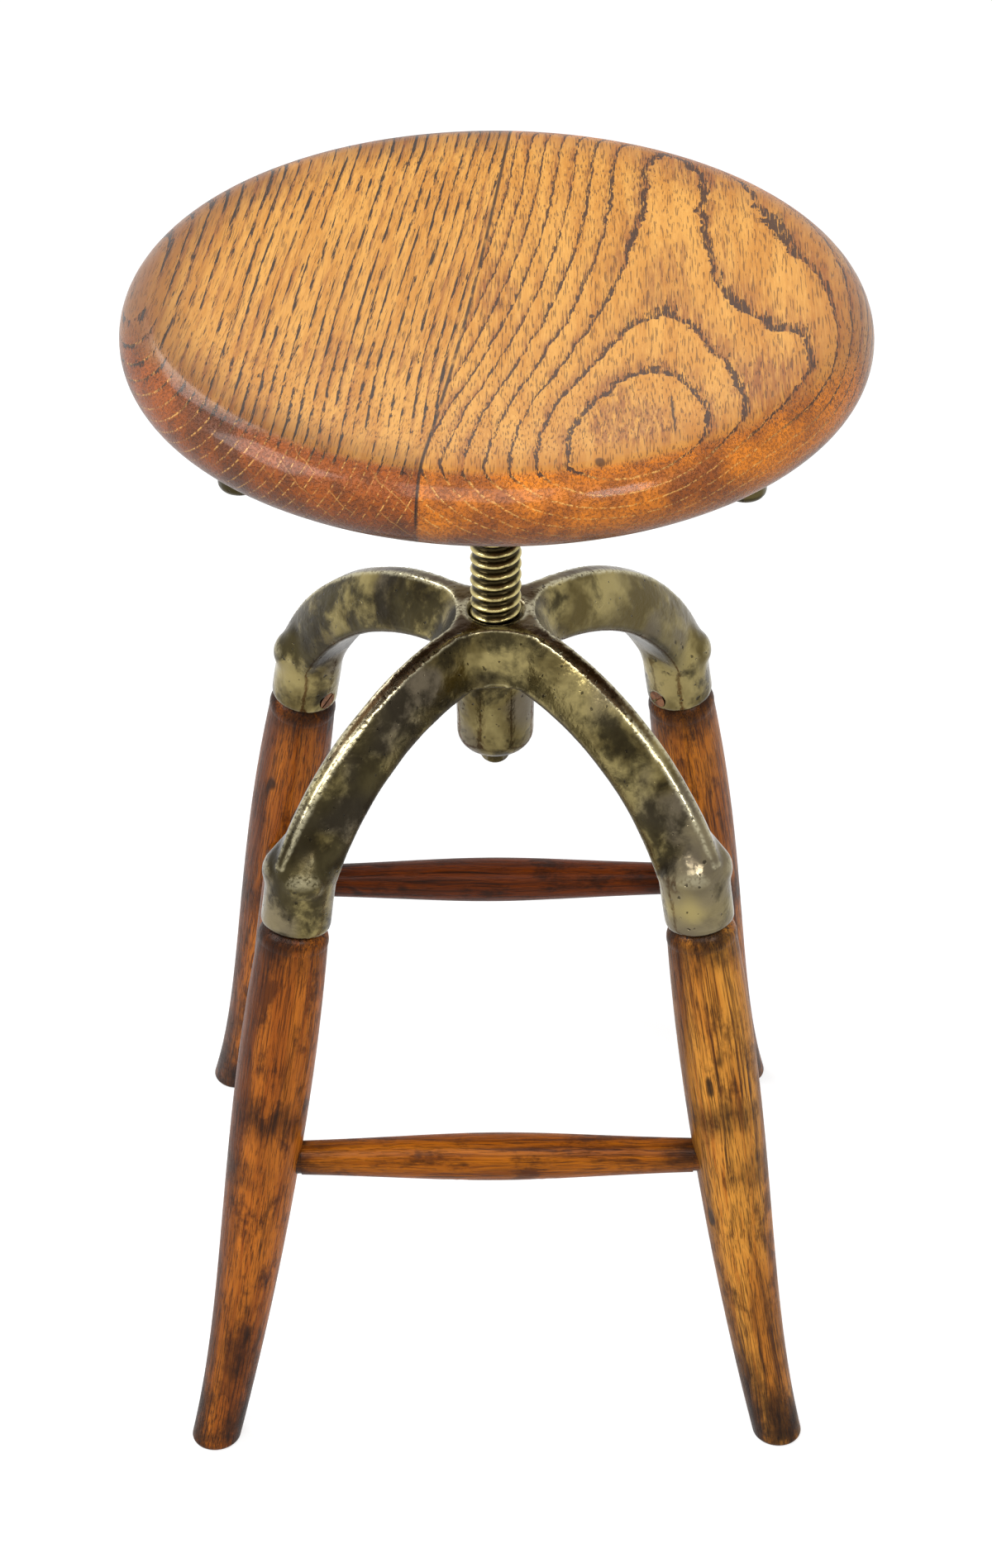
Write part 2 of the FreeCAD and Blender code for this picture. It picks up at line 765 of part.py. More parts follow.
def leg_blank():
    """Return one leg on the arm along +X: tenon, rounded shoulder, belly and flared foot."""
    neck_height = socket_point(0, 0, -leg_shoulder_depth).z
    sections = [
        leg_section(neck_height, leg_neck_diameter),
        leg_section(leg_belly_height, leg_belly_diameter),
        leg_section(leg_calf_height, leg_calf_diameter),
        leg_section(leg_ankle_height, leg_ankle_diameter),
        leg_section(leg_foot_height, foot_diameter),
    ]
    shaft = Part.makeLoft(sections, True, False)
    neck = leg_neck_diameter / 2
    shoulder = leg_shoulder_diameter / 2
    half = math.sqrt(0.5)
    round_middle = point(
        shoulder + (neck - shoulder) * half,
        0,
        -leg_shoulder_depth + leg_shoulder_depth * half,
    )
    tenon_top = socket_bore_depth - tenon_end_gap
    edges = [
        line(point(0, 0, -leg_shoulder_depth), point(neck, 0, -leg_shoulder_depth)),
        arc(point(neck, 0, -leg_shoulder_depth), round_middle, point(shoulder, 0, 0)),
        line(point(shoulder, 0, 0), point(tenon_radius, 0, 0)),
        line(point(tenon_radius, 0, 0), point(tenon_radius, 0, tenon_top)),
        line(point(tenon_radius, 0, tenon_top), point(0, 0, tenon_top)),
        line(point(0, 0, tenon_top), point(0, 0, -leg_shoulder_depth)),
    ]
    head = socket_frame(spun(edges))
    size = 2 * leg_axis(leg_foot_height)[0]
    floor = Part.makeBox(size, size, size, point(0, -size / 2, -size))
    leg = head.fuse(shaft).removeSplitter().cut(floor)
    leg = leg.makeFillet(foot_edge_radius, edges_below(leg, foot_edge_radius))
    return leg.cut(socket_screw(screw_play))


def stretcher_half_span(height):
    """Return how far a stretcher's leg axes stand from its middle, which is also its own offset."""
    return leg_axis(height)[0] * math.sqrt(0.5)


def stretcher_outline(height):
    """Return the half outline of a stretcher along X, swelled in the middle."""
    half_span = stretcher_half_span(height)
    shoulder = half_span - leg_belly_diameter / 2 - stretcher_shoulder_gap
    tip = half_span + stretcher_tenon_past_axis
    end = stretcher_end_diameter / 2
    quarter = stretcher_quarter_diameter / 2
    swell = Part.BSplineCurve()
    swell.interpolate([
        point(-shoulder, end, 0),
        point(-stretcher_quarter_place, quarter, 0),
        point(0, stretcher_middle_diameter / 2, 0),
        point(stretcher_quarter_place, quarter, 0),
        point(shoulder, end, 0),
    ])
    tenon = stretcher_tenon_diameter / 2
    return [
        line(point(-tip, 0, 0), point(-tip, tenon, 0)),
        line(point(-tip, tenon, 0), point(-shoulder, tenon, 0)),
        line(point(-shoulder, tenon, 0), point(-shoulder, end, 0)),
        swell.toShape(),
        line(point(shoulder, end, 0), point(shoulder, tenon, 0)),
        line(point(shoulder, tenon, 0), point(tip, tenon, 0)),
        line(point(tip, tenon, 0), point(tip, 0, 0)),
        line(point(tip, 0, 0), point(-tip, 0, 0)),
    ]


def stretcher_azimuths():
    """Return each stretcher's name, the way that it faces from the axis, and its height."""
    return (
        ("right", 90.0, stretcher_side_height),
        ("rear", 180.0, stretcher_rear_height),
        ("left", 270.0, stretcher_side_height),
        ("front", 0.0, stretcher_front_height),
    )


def stretcher_frame(shape, azimuth, height):
    """Return a shape moved from a stretcher's middle, X along it, to its side of the stool."""
    copy = shape.copy()
    copy.translate(point(0, -stretcher_half_span(height), height))
    return turned(copy, azimuth)


def stretcher_mortises():
    """Return the holes in the legs for the stretchers' tenons."""
    holes = []
    radius = stretcher_tenon_diameter / 2 + tenon_play
    for _, azimuth, height in stretcher_azimuths():
        half_span = stretcher_half_span(height)
        for side in (-1, 1):
            start = point(side * (half_span - leg_belly_diameter), 0, 0)
            end = point(side * (half_span + stretcher_tenon_past_axis + tenon_end_gap), 0, 0)
            holes.append(stretcher_frame(cylinder_between(start, end, radius), azimuth, height))
    return Part.makeCompound(holes)


def leg_diameter_at_stretcher(height):
    """Return a leg's diameter where a stretcher meets it, between the belly and the calf."""
    share = max(0.0, (leg_belly_height - height) / (leg_belly_height - leg_calf_height))
    return leg_belly_diameter + share * share * (leg_calf_diameter - leg_belly_diameter)


def stretcher_brads(play=0.0):
    """Return the brads through the side stretchers' tenons, driven in from the legs' outer sides."""
    brads = []
    for name, azimuth, height in stretcher_azimuths():
        if name not in BRADDED_STRETCHERS:
            continue
        half_span = stretcher_half_span(height)
        outside = leg_diameter_at_stretcher(height) / 2 - brad_sink
        for side in (-1, 1):
            head = point(side * half_span, -outside, 0)
            tip = point(side * half_span, brad_length - outside, 0)
            brad = cylinder_between(head, tip, brad_diameter / 2 + play)
            brads.append(stretcher_frame(brad, azimuth, height))
    return Part.makeCompound(brads)


def stretchers():
    """Return each stretcher's name and solid."""
    holes = stretcher_brads(brad_play)
    named = []
    for name, azimuth, height in stretcher_azimuths():
        bar = spun(stretcher_outline(height), ORIGIN, X_AXIS)
        named.append((name, stretcher_frame(bar, azimuth, height).cut(holes)))
    return named


def legs():
    """Return each leg's name and solid."""
    holes = Part.makeCompound([stretcher_mortises(), stretcher_brads(brad_play)])
    blank = leg_blank()
    named = []
    for index, name in enumerate(ARM_NAMES):
        named.append((name, turned(blank, arm_azimuth(index)).cut(holes)))
    return named


def main():
    """Build every piece of the stool and write each to its own file."""
    os.makedirs("parts", exist_ok=True)
    left_board, right_board = seat_boards()
    pieces = {
        "seat_board_left": left_board,
        "seat_board_right": right_board,
        "seat_dowels": seat_dowels(),
        "seat_spider": seat_spider(),
        "seat_screws": seat_screws(),
        "seat_post": seat_post(),
        "post_pin": post_pin(),
        "stop_washer": stop_washer(),
        "stop_bolt": stop_bolt(),
        "base_spider": base_spider(),
        "stretcher_brads": stretcher_brads(),
    }
    for name, leg in legs():
        pieces["leg_" + name] = leg
    for name, bar in stretchers():
        pieces["stretcher_" + name] = bar
    for index, name in enumerate(ARM_NAMES):
        pieces["socket_screw_" + name] = turned(socket_screw(), arm_azimuth(index))
    for name, shape in pieces.items():
        print(name, "solids", len(shape.Solids), "valid", shape.isValid(), "volume", round(shape.Volume))
        shape.exportStep("parts/" + name + ".step")


main()
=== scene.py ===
"""Looks of a drafting stool: oak seat, screw post, cast spider, turned legs and stretchers."""
import logging
import math
from dataclasses import dataclass
from enum import Enum

import bmesh
import bpy
import numpy as np
from mathutils import Matrix, Vector, noise


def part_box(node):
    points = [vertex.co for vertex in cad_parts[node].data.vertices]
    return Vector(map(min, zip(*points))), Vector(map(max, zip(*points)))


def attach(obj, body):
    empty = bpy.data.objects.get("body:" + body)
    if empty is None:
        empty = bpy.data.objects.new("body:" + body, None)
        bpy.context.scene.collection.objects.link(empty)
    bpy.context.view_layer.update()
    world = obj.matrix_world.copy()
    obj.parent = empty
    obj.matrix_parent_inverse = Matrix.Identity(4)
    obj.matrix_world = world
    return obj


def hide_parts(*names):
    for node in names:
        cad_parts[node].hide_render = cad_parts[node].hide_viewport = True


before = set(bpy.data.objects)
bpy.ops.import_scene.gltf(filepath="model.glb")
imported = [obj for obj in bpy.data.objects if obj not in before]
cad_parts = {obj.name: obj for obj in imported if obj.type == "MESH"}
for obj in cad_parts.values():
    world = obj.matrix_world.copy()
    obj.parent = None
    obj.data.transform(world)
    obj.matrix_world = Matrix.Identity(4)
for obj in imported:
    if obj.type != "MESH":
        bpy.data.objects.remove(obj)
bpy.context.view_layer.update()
log = logging.getLogger("drafting_stool")

Tone = tuple[float, float, float, float]
Pair = tuple[float, float]
Triple = tuple[float, float, float]
Socket = bpy.types.NodeSocket
Input = Socket | float | Triple | Tone

WHITE: Tone = (1.0, 1.0, 1.0, 1.0)
BLACK: Tone = (0.0, 0.0, 0.0, 1.0)


class Corner(Enum):
    """The four legs, each with the compass angle of its corner in degrees."""

    REAR_RIGHT = 45.0
    REAR_LEFT = 135.0
    FRONT_LEFT = 225.0
    FRONT_RIGHT = 315.0

    @property
    def word(self) -> str:
        """The corner's name as the nodes spell it."""
        return self.name.lower()


class Side(Enum):
    """The four stretchers, each with the turn that lays its length on Z."""

    RIGHT = (-90.0, 0.0, 0.0)
    REAR = (0.0, 90.0, 0.0)
    LEFT = (-90.0, 0.0, 180.0)
    FRONT = (0.0, 90.0, 180.0)

    @property
    def word(self) -> str:
        """The side's name as the nodes spell it."""
        return self.name.lower()


def tone(red: int, green: int, blue: int) -> Tone:
    """Return a screen colour as the linear colour that shaders take.

    Args:
        red: red from 0 to 255.
        green: green from 0 to 255.
        blue: blue from 0 to 255.

    Returns:
        The linear colour with a full alpha.
    """
    parts = []
    for value in (red, green, blue):
        share = value / 255
        parts.append(share / 12.92 if share <= 0.04045 else ((share + 0.055) / 1.055) ** 2.4)
    return (parts[0], parts[1], parts[2], 1.0)


@dataclass(frozen=True)
class Mark:
    """A dark spot, knot or crack.

    It has a place, a reach each way, a strength, and a core: the share of its reach that is fully dark.
    """

    place: Triple
    reach: Triple
    strength: float = 0.9
    core: float = 0.55


@dataclass(frozen=True)
class Swell:
    """A place where the growth rings bulge: how far, about which line and how wide."""

    rise: float
    place: Triple
    reach: Triple


@dataclass(frozen=True)
class Pattern:
    """Soft noise: its blotches in a metre, even or each way, its finer layers and their strength."""

    blotches: float | Triple
    detail: float = 2.0
    rough: float = 0.5


@dataclass(frozen=True)
class Varnish:
    """How a surface shines: its plain reflection, and the weight and roughness of its varnish."""

    shine: float = 0.5
    coat: float = 0.0
    coat_rough: float = 0.1


class NodeSheet:
    """The nodes of one material or world, laid from its coordinates to its surface."""

    def __init__(self, owner: bpy.types.Material | bpy.types.World) -> None:
        """Start with the owner's nodes cleared.

        Args:
            owner: the material or world that the nodes belong to.
        """
        self.owner = owner
        owner.use_nodes = True
        self.tree = owner.node_tree
        self.tree.nodes.clear()

    def add(self, kind: str, **settings: object) -> bpy.types.Node:
        """Add one node and set its properties.

        Args:
            kind: the node's type after ShaderNode.
            settings: properties of the node by name.

        Returns:
            The new node.
        """
        node = self.tree.nodes.new("ShaderNode" + kind)
        for key, value in settings.items():
            setattr(node, key, value)
        return node

    def feed(self, socket: Socket, value: Input) -> None:
        """Link or set one input.

        Args:
            socket: the input.
            value: an output to link, or a constant.
        """
        if isinstance(value, bpy.types.NodeSocket):
            self.tree.links.new(value, socket)
        else:
            socket.default_value = value

    def place(self) -> Socket:
        """Return the coordinates fixed to the piece."""
        return self.add("TexCoord").outputs["Object"]

    def facing(self) -> Socket:
        """Return the direction that the surface faces, fixed to the piece."""
        return self.add("TexCoord").outputs["Normal"]

    def attribute(self, name: str) -> Socket:
        """Return a number kept on the piece's points."""
        return self.add("Attribute", attribute_name=name).outputs["Fac"]

    def sums(self, work: str, first: Input, second: Input = 0.0) -> Socket:
        """Do one sum.

        Args:
            work: the Math node's operation.
            first: the first number.
            second: the second number, where the sum has one.

        Returns:
            The result.
        """
        node = self.add("Math", operation=work)
        self.feed(node.inputs[0], first)
        self.feed(node.inputs[1], second)
        return node.outputs[0]

    def times(self, first: Input, second: Input) -> Socket:
        """Return two numbers multiplied."""
        return self.sums("MULTIPLY", first, second)

    def rest(self, share: Input) -> Socket:
        """Return what a share leaves of 1."""
        return self.sums("SUBTRACT", 1.0, share)

    def vectors(self, work: str, first: Input, second: Input = (0.0, 0.0, 0.0)) -> Socket:
        """Do one sum on vectors.

        Args:
            work: the Vector Math node's operation.
            first: the first vector.
            second: the second vector, where the sum has one.

        Returns:
            The result, a number for a length or a dot product.
        """
        node = self.add("VectorMath", operation=work)
        self.feed(node.inputs[0], first)
        self.feed(node.inputs[1], second)
        return node.outputs["Value" if work in ("LENGTH", "DOT_PRODUCT") else "Vector"]

    def split(self, vector: Input) -> tuple[Socket, Socket, Socket]:
        """Take a vector apart.

        Args:
            vector: the vector.

        Returns:
            Its three parts.
        """
        node = self.add("SeparateXYZ")
        self.feed(node.inputs[0], vector)
        return node.outputs[0], node.outputs[1], node.outputs[2]

    def from_axis(self, place: Input) -> Socket:
        """Return the distance from the stool's upright axis."""
        return self.vectors("LENGTH", self.vectors("MULTIPLY", place, (1.0, 1.0, 0.0)))

    def laid(self, vector: Input, centre: Triple, turn: Triple) -> Socket:
        """Return the coordinates about a centre, turned.

        Args:
            vector: the coordinates.
            centre: the place that becomes the origin.
            turn: the angles, in radians, of the frame that becomes upright.

        Returns:
            The new coordinates.
        """
        node = self.add("Mapping", vector_type="TEXTURE")
        self.feed(node.inputs["Vector"], vector)
        node.inputs["Location"].default_value = centre
        node.inputs["Rotation"].default_value = turn
        return node.outputs[0]

    def noise_node(self, vector: Input, pattern: Pattern) -> bpy.types.Node:
        """Add soft noise.

        Args:
            vector: the coordinates.
            pattern: the noise's blotches and layers.

        Returns:
            The node, with a number about 0.5 and three such numbers as a colour.
        """
        even = isinstance(pattern.blotches, float)
        if not even:
            vector = self.vectors("MULTIPLY", vector, pattern.blotches)
        node = self.add("TexNoise", noise_dimensions="3D")
        self.feed(node.inputs["Vector"], vector)
        node.inputs["Scale"].default_value = pattern.blotches if even else 1.0
        node.inputs["Detail"].default_value = pattern.detail
        node.inputs["Roughness"].default_value = pattern.rough
        return node

    def noise(self, vector: Input, pattern: Pattern) -> Socket:
        """Return soft noise, a number about 0.5."""
        return self.noise_node(vector, pattern).outputs[0]

    def wander(self, vector: Input, scale: float, reach: float) -> Socket:
        """Return the coordinates pushed about by soft noise.

        Args:
            vector: the coordinates.
            scale: waves per unit.
            reach: how far a point is pushed.

        Returns:
            The pushed coordinates.
        """
        node = self.noise_node(vector, Pattern(scale))
        centred = self.vectors("SUBTRACT", node.outputs["Color"], (0.5, 0.5, 0.5))
        pushed = self.vectors("MULTIPLY", centred, (reach * 2, reach * 2, reach * 2))
        return self.vectors("ADD", vector, pushed)

    def step(self, value: Input, low: Input, high: Input) -> Socket:
        """Return 0 below low, 1 above high and a soft rise between.

        Args:
            value: the number.
            low: where the rise starts.
            high: where the rise ends.

        Returns:
            A number from 0 to 1.
        """
        node = self.add("MapRange", interpolation_type="SMOOTHSTEP")
        self.feed(node.inputs["Value"], value)
        self.feed(node.inputs["From Min"], low)
        self.feed(node.inputs["From Max"], high)
        return node.outputs["Result"]

    def spread(self, value: Input, low: float, high: float) -> Socket:
        """Lay a share out over a range.

        Args:
            value: the share, from 0 to 1.
            low: what 0 becomes.
            high: what 1 becomes.

        Returns:
            A number from low to high.
        """
        node = self.add("MapRange")
        self.feed(node.inputs["Value"], value)
        node.inputs["To Min"].default_value = low
        node.inputs["To Max"].default_value = high
        return node.outputs["Result"]

    def ramp(self, value: Input, *stops: tuple[float, Tone]) -> Socket:
        """Return a colour read from a row of stops.

        Args:
            value: the number that is looked up.
            stops: places from 0 to 1 with their colours.

        Returns:
            The colour.
        """
        node = self.add("ValToRGB")
        self.feed(node.inputs[0], value)
        marks = node.color_ramp.elements
        while len(marks) < len(stops):
            marks.new(0.5)
        for mark, (where, colour) in zip(marks, stops):
            mark.position = where
            mark.color = colour
        return node.outputs[0]

    def mix(self, share: Input, first: Input, second: Input) -> Socket:
        """Mix two colours.

        Args:
            share: how much of the second.
            first: the first colour.
            second: the second colour.

        Returns:
            The colour.
        """
        node = self.add("Mix", data_type="RGBA")
        self.feed(node.inputs[0], share)
        self.feed(node.inputs[6], first)
        self.feed(node.inputs[7], second)
        return node.outputs[2]

    def tint(self, colour: Input, over: Input, share: Input, strength: Input) -> Socket:
        """Return a colour with another laid over it, where share says and as strongly as strength says."""
        return self.mix(self.times(share, strength), colour, over)

    def spot(self, place: Input, mark: Mark) -> Socket:
        """Return how strongly one small mark shows.

        Args:
            place: the coordinates, pushed about where the mark is ragged.
            mark: the mark.

        Returns:
            A number from 0, off the mark, to the mark's strength.
        """
        arm = self.vectors("SUBTRACT", place, mark.place)
        share = self.vectors("LENGTH", self.vectors("DIVIDE", arm, mark.reach))
        return self.times(self.rest(self.step(share, mark.core, 1.0)), mark.strength)

    def relief(self, height: Input, depth: float, under: Socket | None = None) -> Socket:
        """Return the surface's direction with a small relief.

        Args:
            height: the relief from 0 to 1.
            depth: what 1 stands for, in metres.
            under: a relief that this one is laid on.

        Returns:
            The direction.
        """
        node = self.add("Bump")
        node.inputs["Strength"].default_value = 1.0
        node.inputs["Distance"].default_value = depth
        self.feed(node.inputs["Height"], height)
        if under is not None:
            self.feed(node.inputs["Normal"], under)
        return node.outputs[0]

    def surface(self, colour: Input, rough: Input, normal: Socket, metal: float = 0.0,
                varnish: Varnish = Varnish()) -> bpy.types.Material:
        """End the material in its shader.

        Args:
            colour: the base colour.
            rough: the roughness.
            normal: the surface's direction, with its relief.
            metal: how metallic it is.
            varnish: how it shines.

        Returns:
            The finished material.
        """
        shader = self.add("BsdfPrincipled")
        self.feed(shader.inputs["Base Color"], colour)
        self.feed(shader.inputs["Roughness"], rough)
        self.feed(shader.inputs["Normal"], normal)
        shader.inputs["Metallic"].default_value = metal
        shader.inputs["Specular IOR Level"].default_value = varnish.shine
        shader.inputs["Coat Weight"].default_value = varnish.coat
        shader.inputs["Coat Roughness"].default_value = varnish.coat_rough
        self.feed(self.add("OutputMaterial").inputs["Surface"], shader.outputs[0])
        return self.owner


@dataclass(frozen=True)
class OakBoard:
    """Varnished oak: growth rings about the tree's heart, rows of dark pores and ruddy end grain.

    A pair is where a soft rise or a range starts and ends, or a wander's waves in a metre and its reach.
    Patterns along the grain have it last.
    """

    name: str
    heart: Triple
    lean: Triple
    grain: Triple
    ring: float
    core: float
    sway: float
    uneven: float
    dash: Pattern
    broken: float
    faded: float
    marks: tuple[Mark, ...] = ()
    stains: tuple[Mark, ...] = ()
    swells: tuple[Swell, ...] = ()
    waves: Triple = (12.0, 75.0, 300.0)
    ripple: float = 0.0008
    slow_wave: Pattern = Pattern(9.0, 0.0)
    quick_wave: Pattern = Pattern(48.0, 0.0)
    quick: float = 0.35
    ring_shown: Pair = (-0.12, -0.02)
    ring_edge: Pair = (0.0, 0.04)
    line_fade: Pair = (0.06, 0.19)
    band_fade: Pair = (0.08, 0.36)
    glow_fade: Pair = (0.04, 0.70)
    edge_line: float = 0.07
    band_depth: float = 0.20
    fine_dash: Pattern = Pattern((1900.0, 1900.0, 130.0), 1.0)
    dash_parts: Pair = (0.55, 0.45)
    dash_row: Pattern = Pattern((240.0, 240.0, 14.0), 1.0)
    dash_row_rise: Pair = (0.44, 0.64)
    dash_edge: float = 0.07
    hair: Pattern = Pattern((1700.0, 1700.0, 100.0), 0.0)
    hair_rise: Pair = (0.62, 0.72)
    hair_share: float = 0.58
    glint_share: float = 0.25
    pore_share: float = 0.94
    end_facing: Pair = (0.13, 0.38)
    flat_facing: Pair = (0.34, 0.62)
    streak: Pattern = Pattern((130.0, 130.0, 8.0), 4.0, 0.6)
    golden_rise: Pair = (0.34, 0.66)
    blot: Pattern = Pattern((34.0, 34.0, 14.0), 4.0, 0.6)
    fibre: Pattern = Pattern((620.0, 620.0, 40.0))
    shade_rise: Pair = (0.78, 1.16)
    shade_share: float = 0.85
    stain_blot: Pair = (0.56, 0.76)
    stain_fibre: Pair = (0.34, 0.60)
    stain_share: float = 0.7
    stain_bend: Pair = (40.0, 0.012)
    mark_fibre: Pair = (0.30, 0.62)
    mark_bend: Pair = (90.0, 0.0012)
    cloud: Pattern = Pattern(11.0, 3.0, 0.55)
    rim: Pair = (0.132, 0.172)
    rim_cloud: Pair = (0.20, 0.55)
    rim_darkening: float = 0.5
    end_blot: Pair = (0.40, 0.68)
    patch: Pattern = Pattern(46.0, 4.0, 0.6)
    patch_rise: Pair = (0.57, 0.72)
    patch_share: float = 0.55
    fleck: Pattern = Pattern(700.0, 2.0, 0.62)
    fleck_rise: Pair = (0.50, 0.66)
    fleck_share: float = 0.38
    fleck_pit: Pair = (0.44, 0.66)
    arc: Pattern = Pattern(560.0, 2.0, 0.7)
    arc_rise: Pair = (0.42, 0.58)
    arc_group: Pattern = Pattern(75.0)
    arc_group_rise: Pair = (0.38, 0.58)
    arc_floor: float = 0.8
    rays: float = 0.0
    ray_bend: Pair = (60.0, 0.003)
    ray_edge: Pair = (0.01, 0.04)
    ray_group: Pattern = Pattern(60.0, 1.0)
    ray_group_rise: Pair = (0.40, 0.56)
    ray_fade: Pair = (-0.125, -0.075)
    ray_share: float = 0.36
    pale_share: float = 0.78
    joint: Triple = (0.99027, -0.13917, 0.0)
    joint_offset: float = 0.0135
    glue: Pair = (0.0004, 0.0011)
    glue_gap: Pattern = Pattern(45.0)
    glue_gap_rise: Pair = (0.30, 0.46)
    glue_share: float = 0.92
    # Heights over which the rim gets painted shade, darkest at its lower edge.
    foot: Pair = (0.5642, 0.5892)
    foot_shade_cloud: Pair = (0.25, 0.60)
    foot_shade_range: Pair = (0.6, 1.0)
    foot_shade_share: float = 0.88
    depth: float = 0.0005
    gloss: Pattern = Pattern(60.0, 3.0)
    rough: Pair = (0.26, 0.42)
    end_rough: float = 0.06
    varnish: Varnish = Varnish(0.20, 0.26, 0.13)
    light: Tone = tone(216, 155, 70)
    golden: Tone = tone(194, 129, 47)
    ruddy: Tone = tone(140, 80, 34)
    pore: Tone = tone(50, 28, 12)
    end_warm: Tone = tone(196, 110, 30)
    end_dark: Tone = tone(128, 66, 20)
    end_pale: Tone = tone(240, 182, 98)
    edge: Tone = tone(72, 37, 13)

    def material(self) -> bpy.types.Material:
        """Lay out the board's nodes.

        Returns:
            The finished material.
        """
        sheet = NodeSheet(bpy.data.materials.new(self.name))
        place = sheet.place()
        way = Vector(self.grain).normalized()
        turn = way.to_track_quat("Z", "Y").to_euler()
        own = sheet.laid(place, self.heart, (turn.x, turn.y, turn.z))
        line, band, glow = self.ring_parts(sheet, place)
        along = sheet.sums("ABSOLUTE", sheet.vectors("DOT_PRODUCT", sheet.facing(), tuple(way)))
        end = sheet.step(along, *self.end_facing)
        flat = sheet.rest(sheet.step(along, *self.flat_facing))
        cloud = sheet.noise(place, self.cloud)
        blot = sheet.noise(own, self.blot)
        streak = sheet.noise(own, self.streak)
        hair = sheet.noise(own, self.hair)
        fleck = sheet.noise(place, self.fleck)
        hairs = sheet.times(sheet.step(hair, *self.hair_rise), self.hair_share)
        pores = sheet.times(sheet.sums("MAXIMUM", self.dashes(sheet, own, band, line), hairs), flat)
        colour = sheet.mix(sheet.step(streak, *self.golden_rise), self.light, self.golden)
        colour = self.stained(sheet, colour, place, sheet.noise(own, self.fibre), blot, glow)
        # Painted glints: pale flecks on the flat grain stand in for light caught by the pores.
        bare = sheet.times(sheet.step(sheet.rest(hair), *self.hair_rise), self.glint_share)
        colour = sheet.tint(colour, self.end_pale, bare, flat)
        # Darker towards the outer rim, in soft clouds.
        worn = sheet.times(sheet.step(sheet.from_axis(place), *self.rim), sheet.step(cloud, *self.rim_cloud))
        colour = sheet.tint(colour, self.end_dark, worn, self.rim_darkening)
        colour = sheet.mix(end, colour, self.end_grain(sheet, place, line, blot, fleck))
        colour = sheet.tint(colour, self.pore, pores, self.pore_share)
        colour = self.aged(sheet, colour, place, cloud)
        rough = sheet.spread(sheet.noise(place, self.gloss), *self.rough)
        rough = sheet.sums("ADD", rough, sheet.times(end, self.end_rough))
        pitted = sheet.times(end, sheet.step(fleck, *self.fleck_pit))
        height = sheet.sums("SUBTRACT", sheet.rest(pores), pitted)
        normal = sheet.relief(height, self.depth, sheet.relief(streak, self.depth))
        return sheet.surface(colour, rough, normal, varnish=self.varnish)

    def rings(self, sheet: NodeSheet, place: Socket) -> Socket:
        """Return the growth ring that a point lies in, counted from the core.

        Args:
            sheet: the material's nodes.
            place: the coordinates.

        Returns:
            The count, whose whole part changes at each ring's edge.
        """
        way = Vector(self.lean).normalized()
        bent = place
        for scale, push in zip(self.waves, (self.sway, self.ripple, self.ripple / 2)):
            bent = sheet.wander(bent, scale, push)
        arm = sheet.vectors("SUBTRACT", bent, self.heart)
        reach = sheet.vectors("LENGTH", sheet.vectors("CROSS_PRODUCT", arm, tuple(way)))
        for swell in self.swells:
            share = (1 / swell.reach[0], 1 / swell.reach[1], 0.0)
            off = sheet.vectors("MULTIPLY", sheet.vectors("SUBTRACT", bent, swell.place), share)
            fall = sheet.sums("EXPONENT", sheet.times(sheet.vectors("DOT_PRODUCT", off, off), -1.0))
            reach = sheet.sums("ADD", reach, sheet.times(fall, swell.rise))
        count = sheet.sums("DIVIDE", sheet.sums("SUBTRACT", reach, self.core), self.ring)
        waves = (self.slow_wave, self.quick_wave)
        slow, quick = (sheet.sums("SUBTRACT", sheet.noise(place, wave), 0.5) for wave in waves)
        both = sheet.sums("ADD", slow, sheet.times(quick, self.quick))
        return sheet.sums("ADD", count, sheet.times(both, self.uneven))

    def ring_parts(self, sheet: NodeSheet, place: Socket) -> tuple[Socket, Socket, Socket]:
        """Return the parts of a growth ring, each from 0 to 1.

        Args:
            sheet: the material's nodes.
            place: the coordinates.

        Returns:
            The line that a ring starts with, its band of pores and its ruddy glow.
        """
        count = self.rings(sheet, place)
        shown = sheet.step(count, *self.ring_shown)
        within = sheet.sums("FRACT", count)
        sharp = sheet.times(shown, sheet.step(within, *self.ring_edge))
        fades = (self.line_fade, self.band_fade, self.glow_fade)
        line, band, glow = (sheet.times(sharp, sheet.rest(sheet.step(within, *fade))) for fade in fades)
        return line, band, glow

    def dashes(self, sheet: NodeSheet, own: Socket, band: Socket, line: Socket) -> Socket:
        """Return the pores of the ring bands, broken into dashes along the grain.

        Args:
            sheet: the material's nodes.
            own: the coordinates with the grain on Z.
            band: where the pore bands are.
            line: where each band starts.

        Returns:
            A number from 0 to 1.
        """
        long = sheet.times(sheet.noise(own, self.dash), self.dash_parts[0])
        fine = sheet.times(sheet.noise(own, self.fine_dash), self.dash_parts[1])
        depth = sheet.sums("ADD", sheet.times(band, self.band_depth), sheet.times(line, self.edge_line))
        rows = sheet.step(sheet.noise(own, self.dash_row), *self.dash_row_rise)
        limit = sheet.sums("SUBTRACT", self.broken, depth)
        limit = sheet.sums("ADD", limit, sheet.times(rows, self.faded))
        return sheet.step(sheet.sums("ADD", long, fine), limit, sheet.sums("ADD", limit, self.dash_edge))

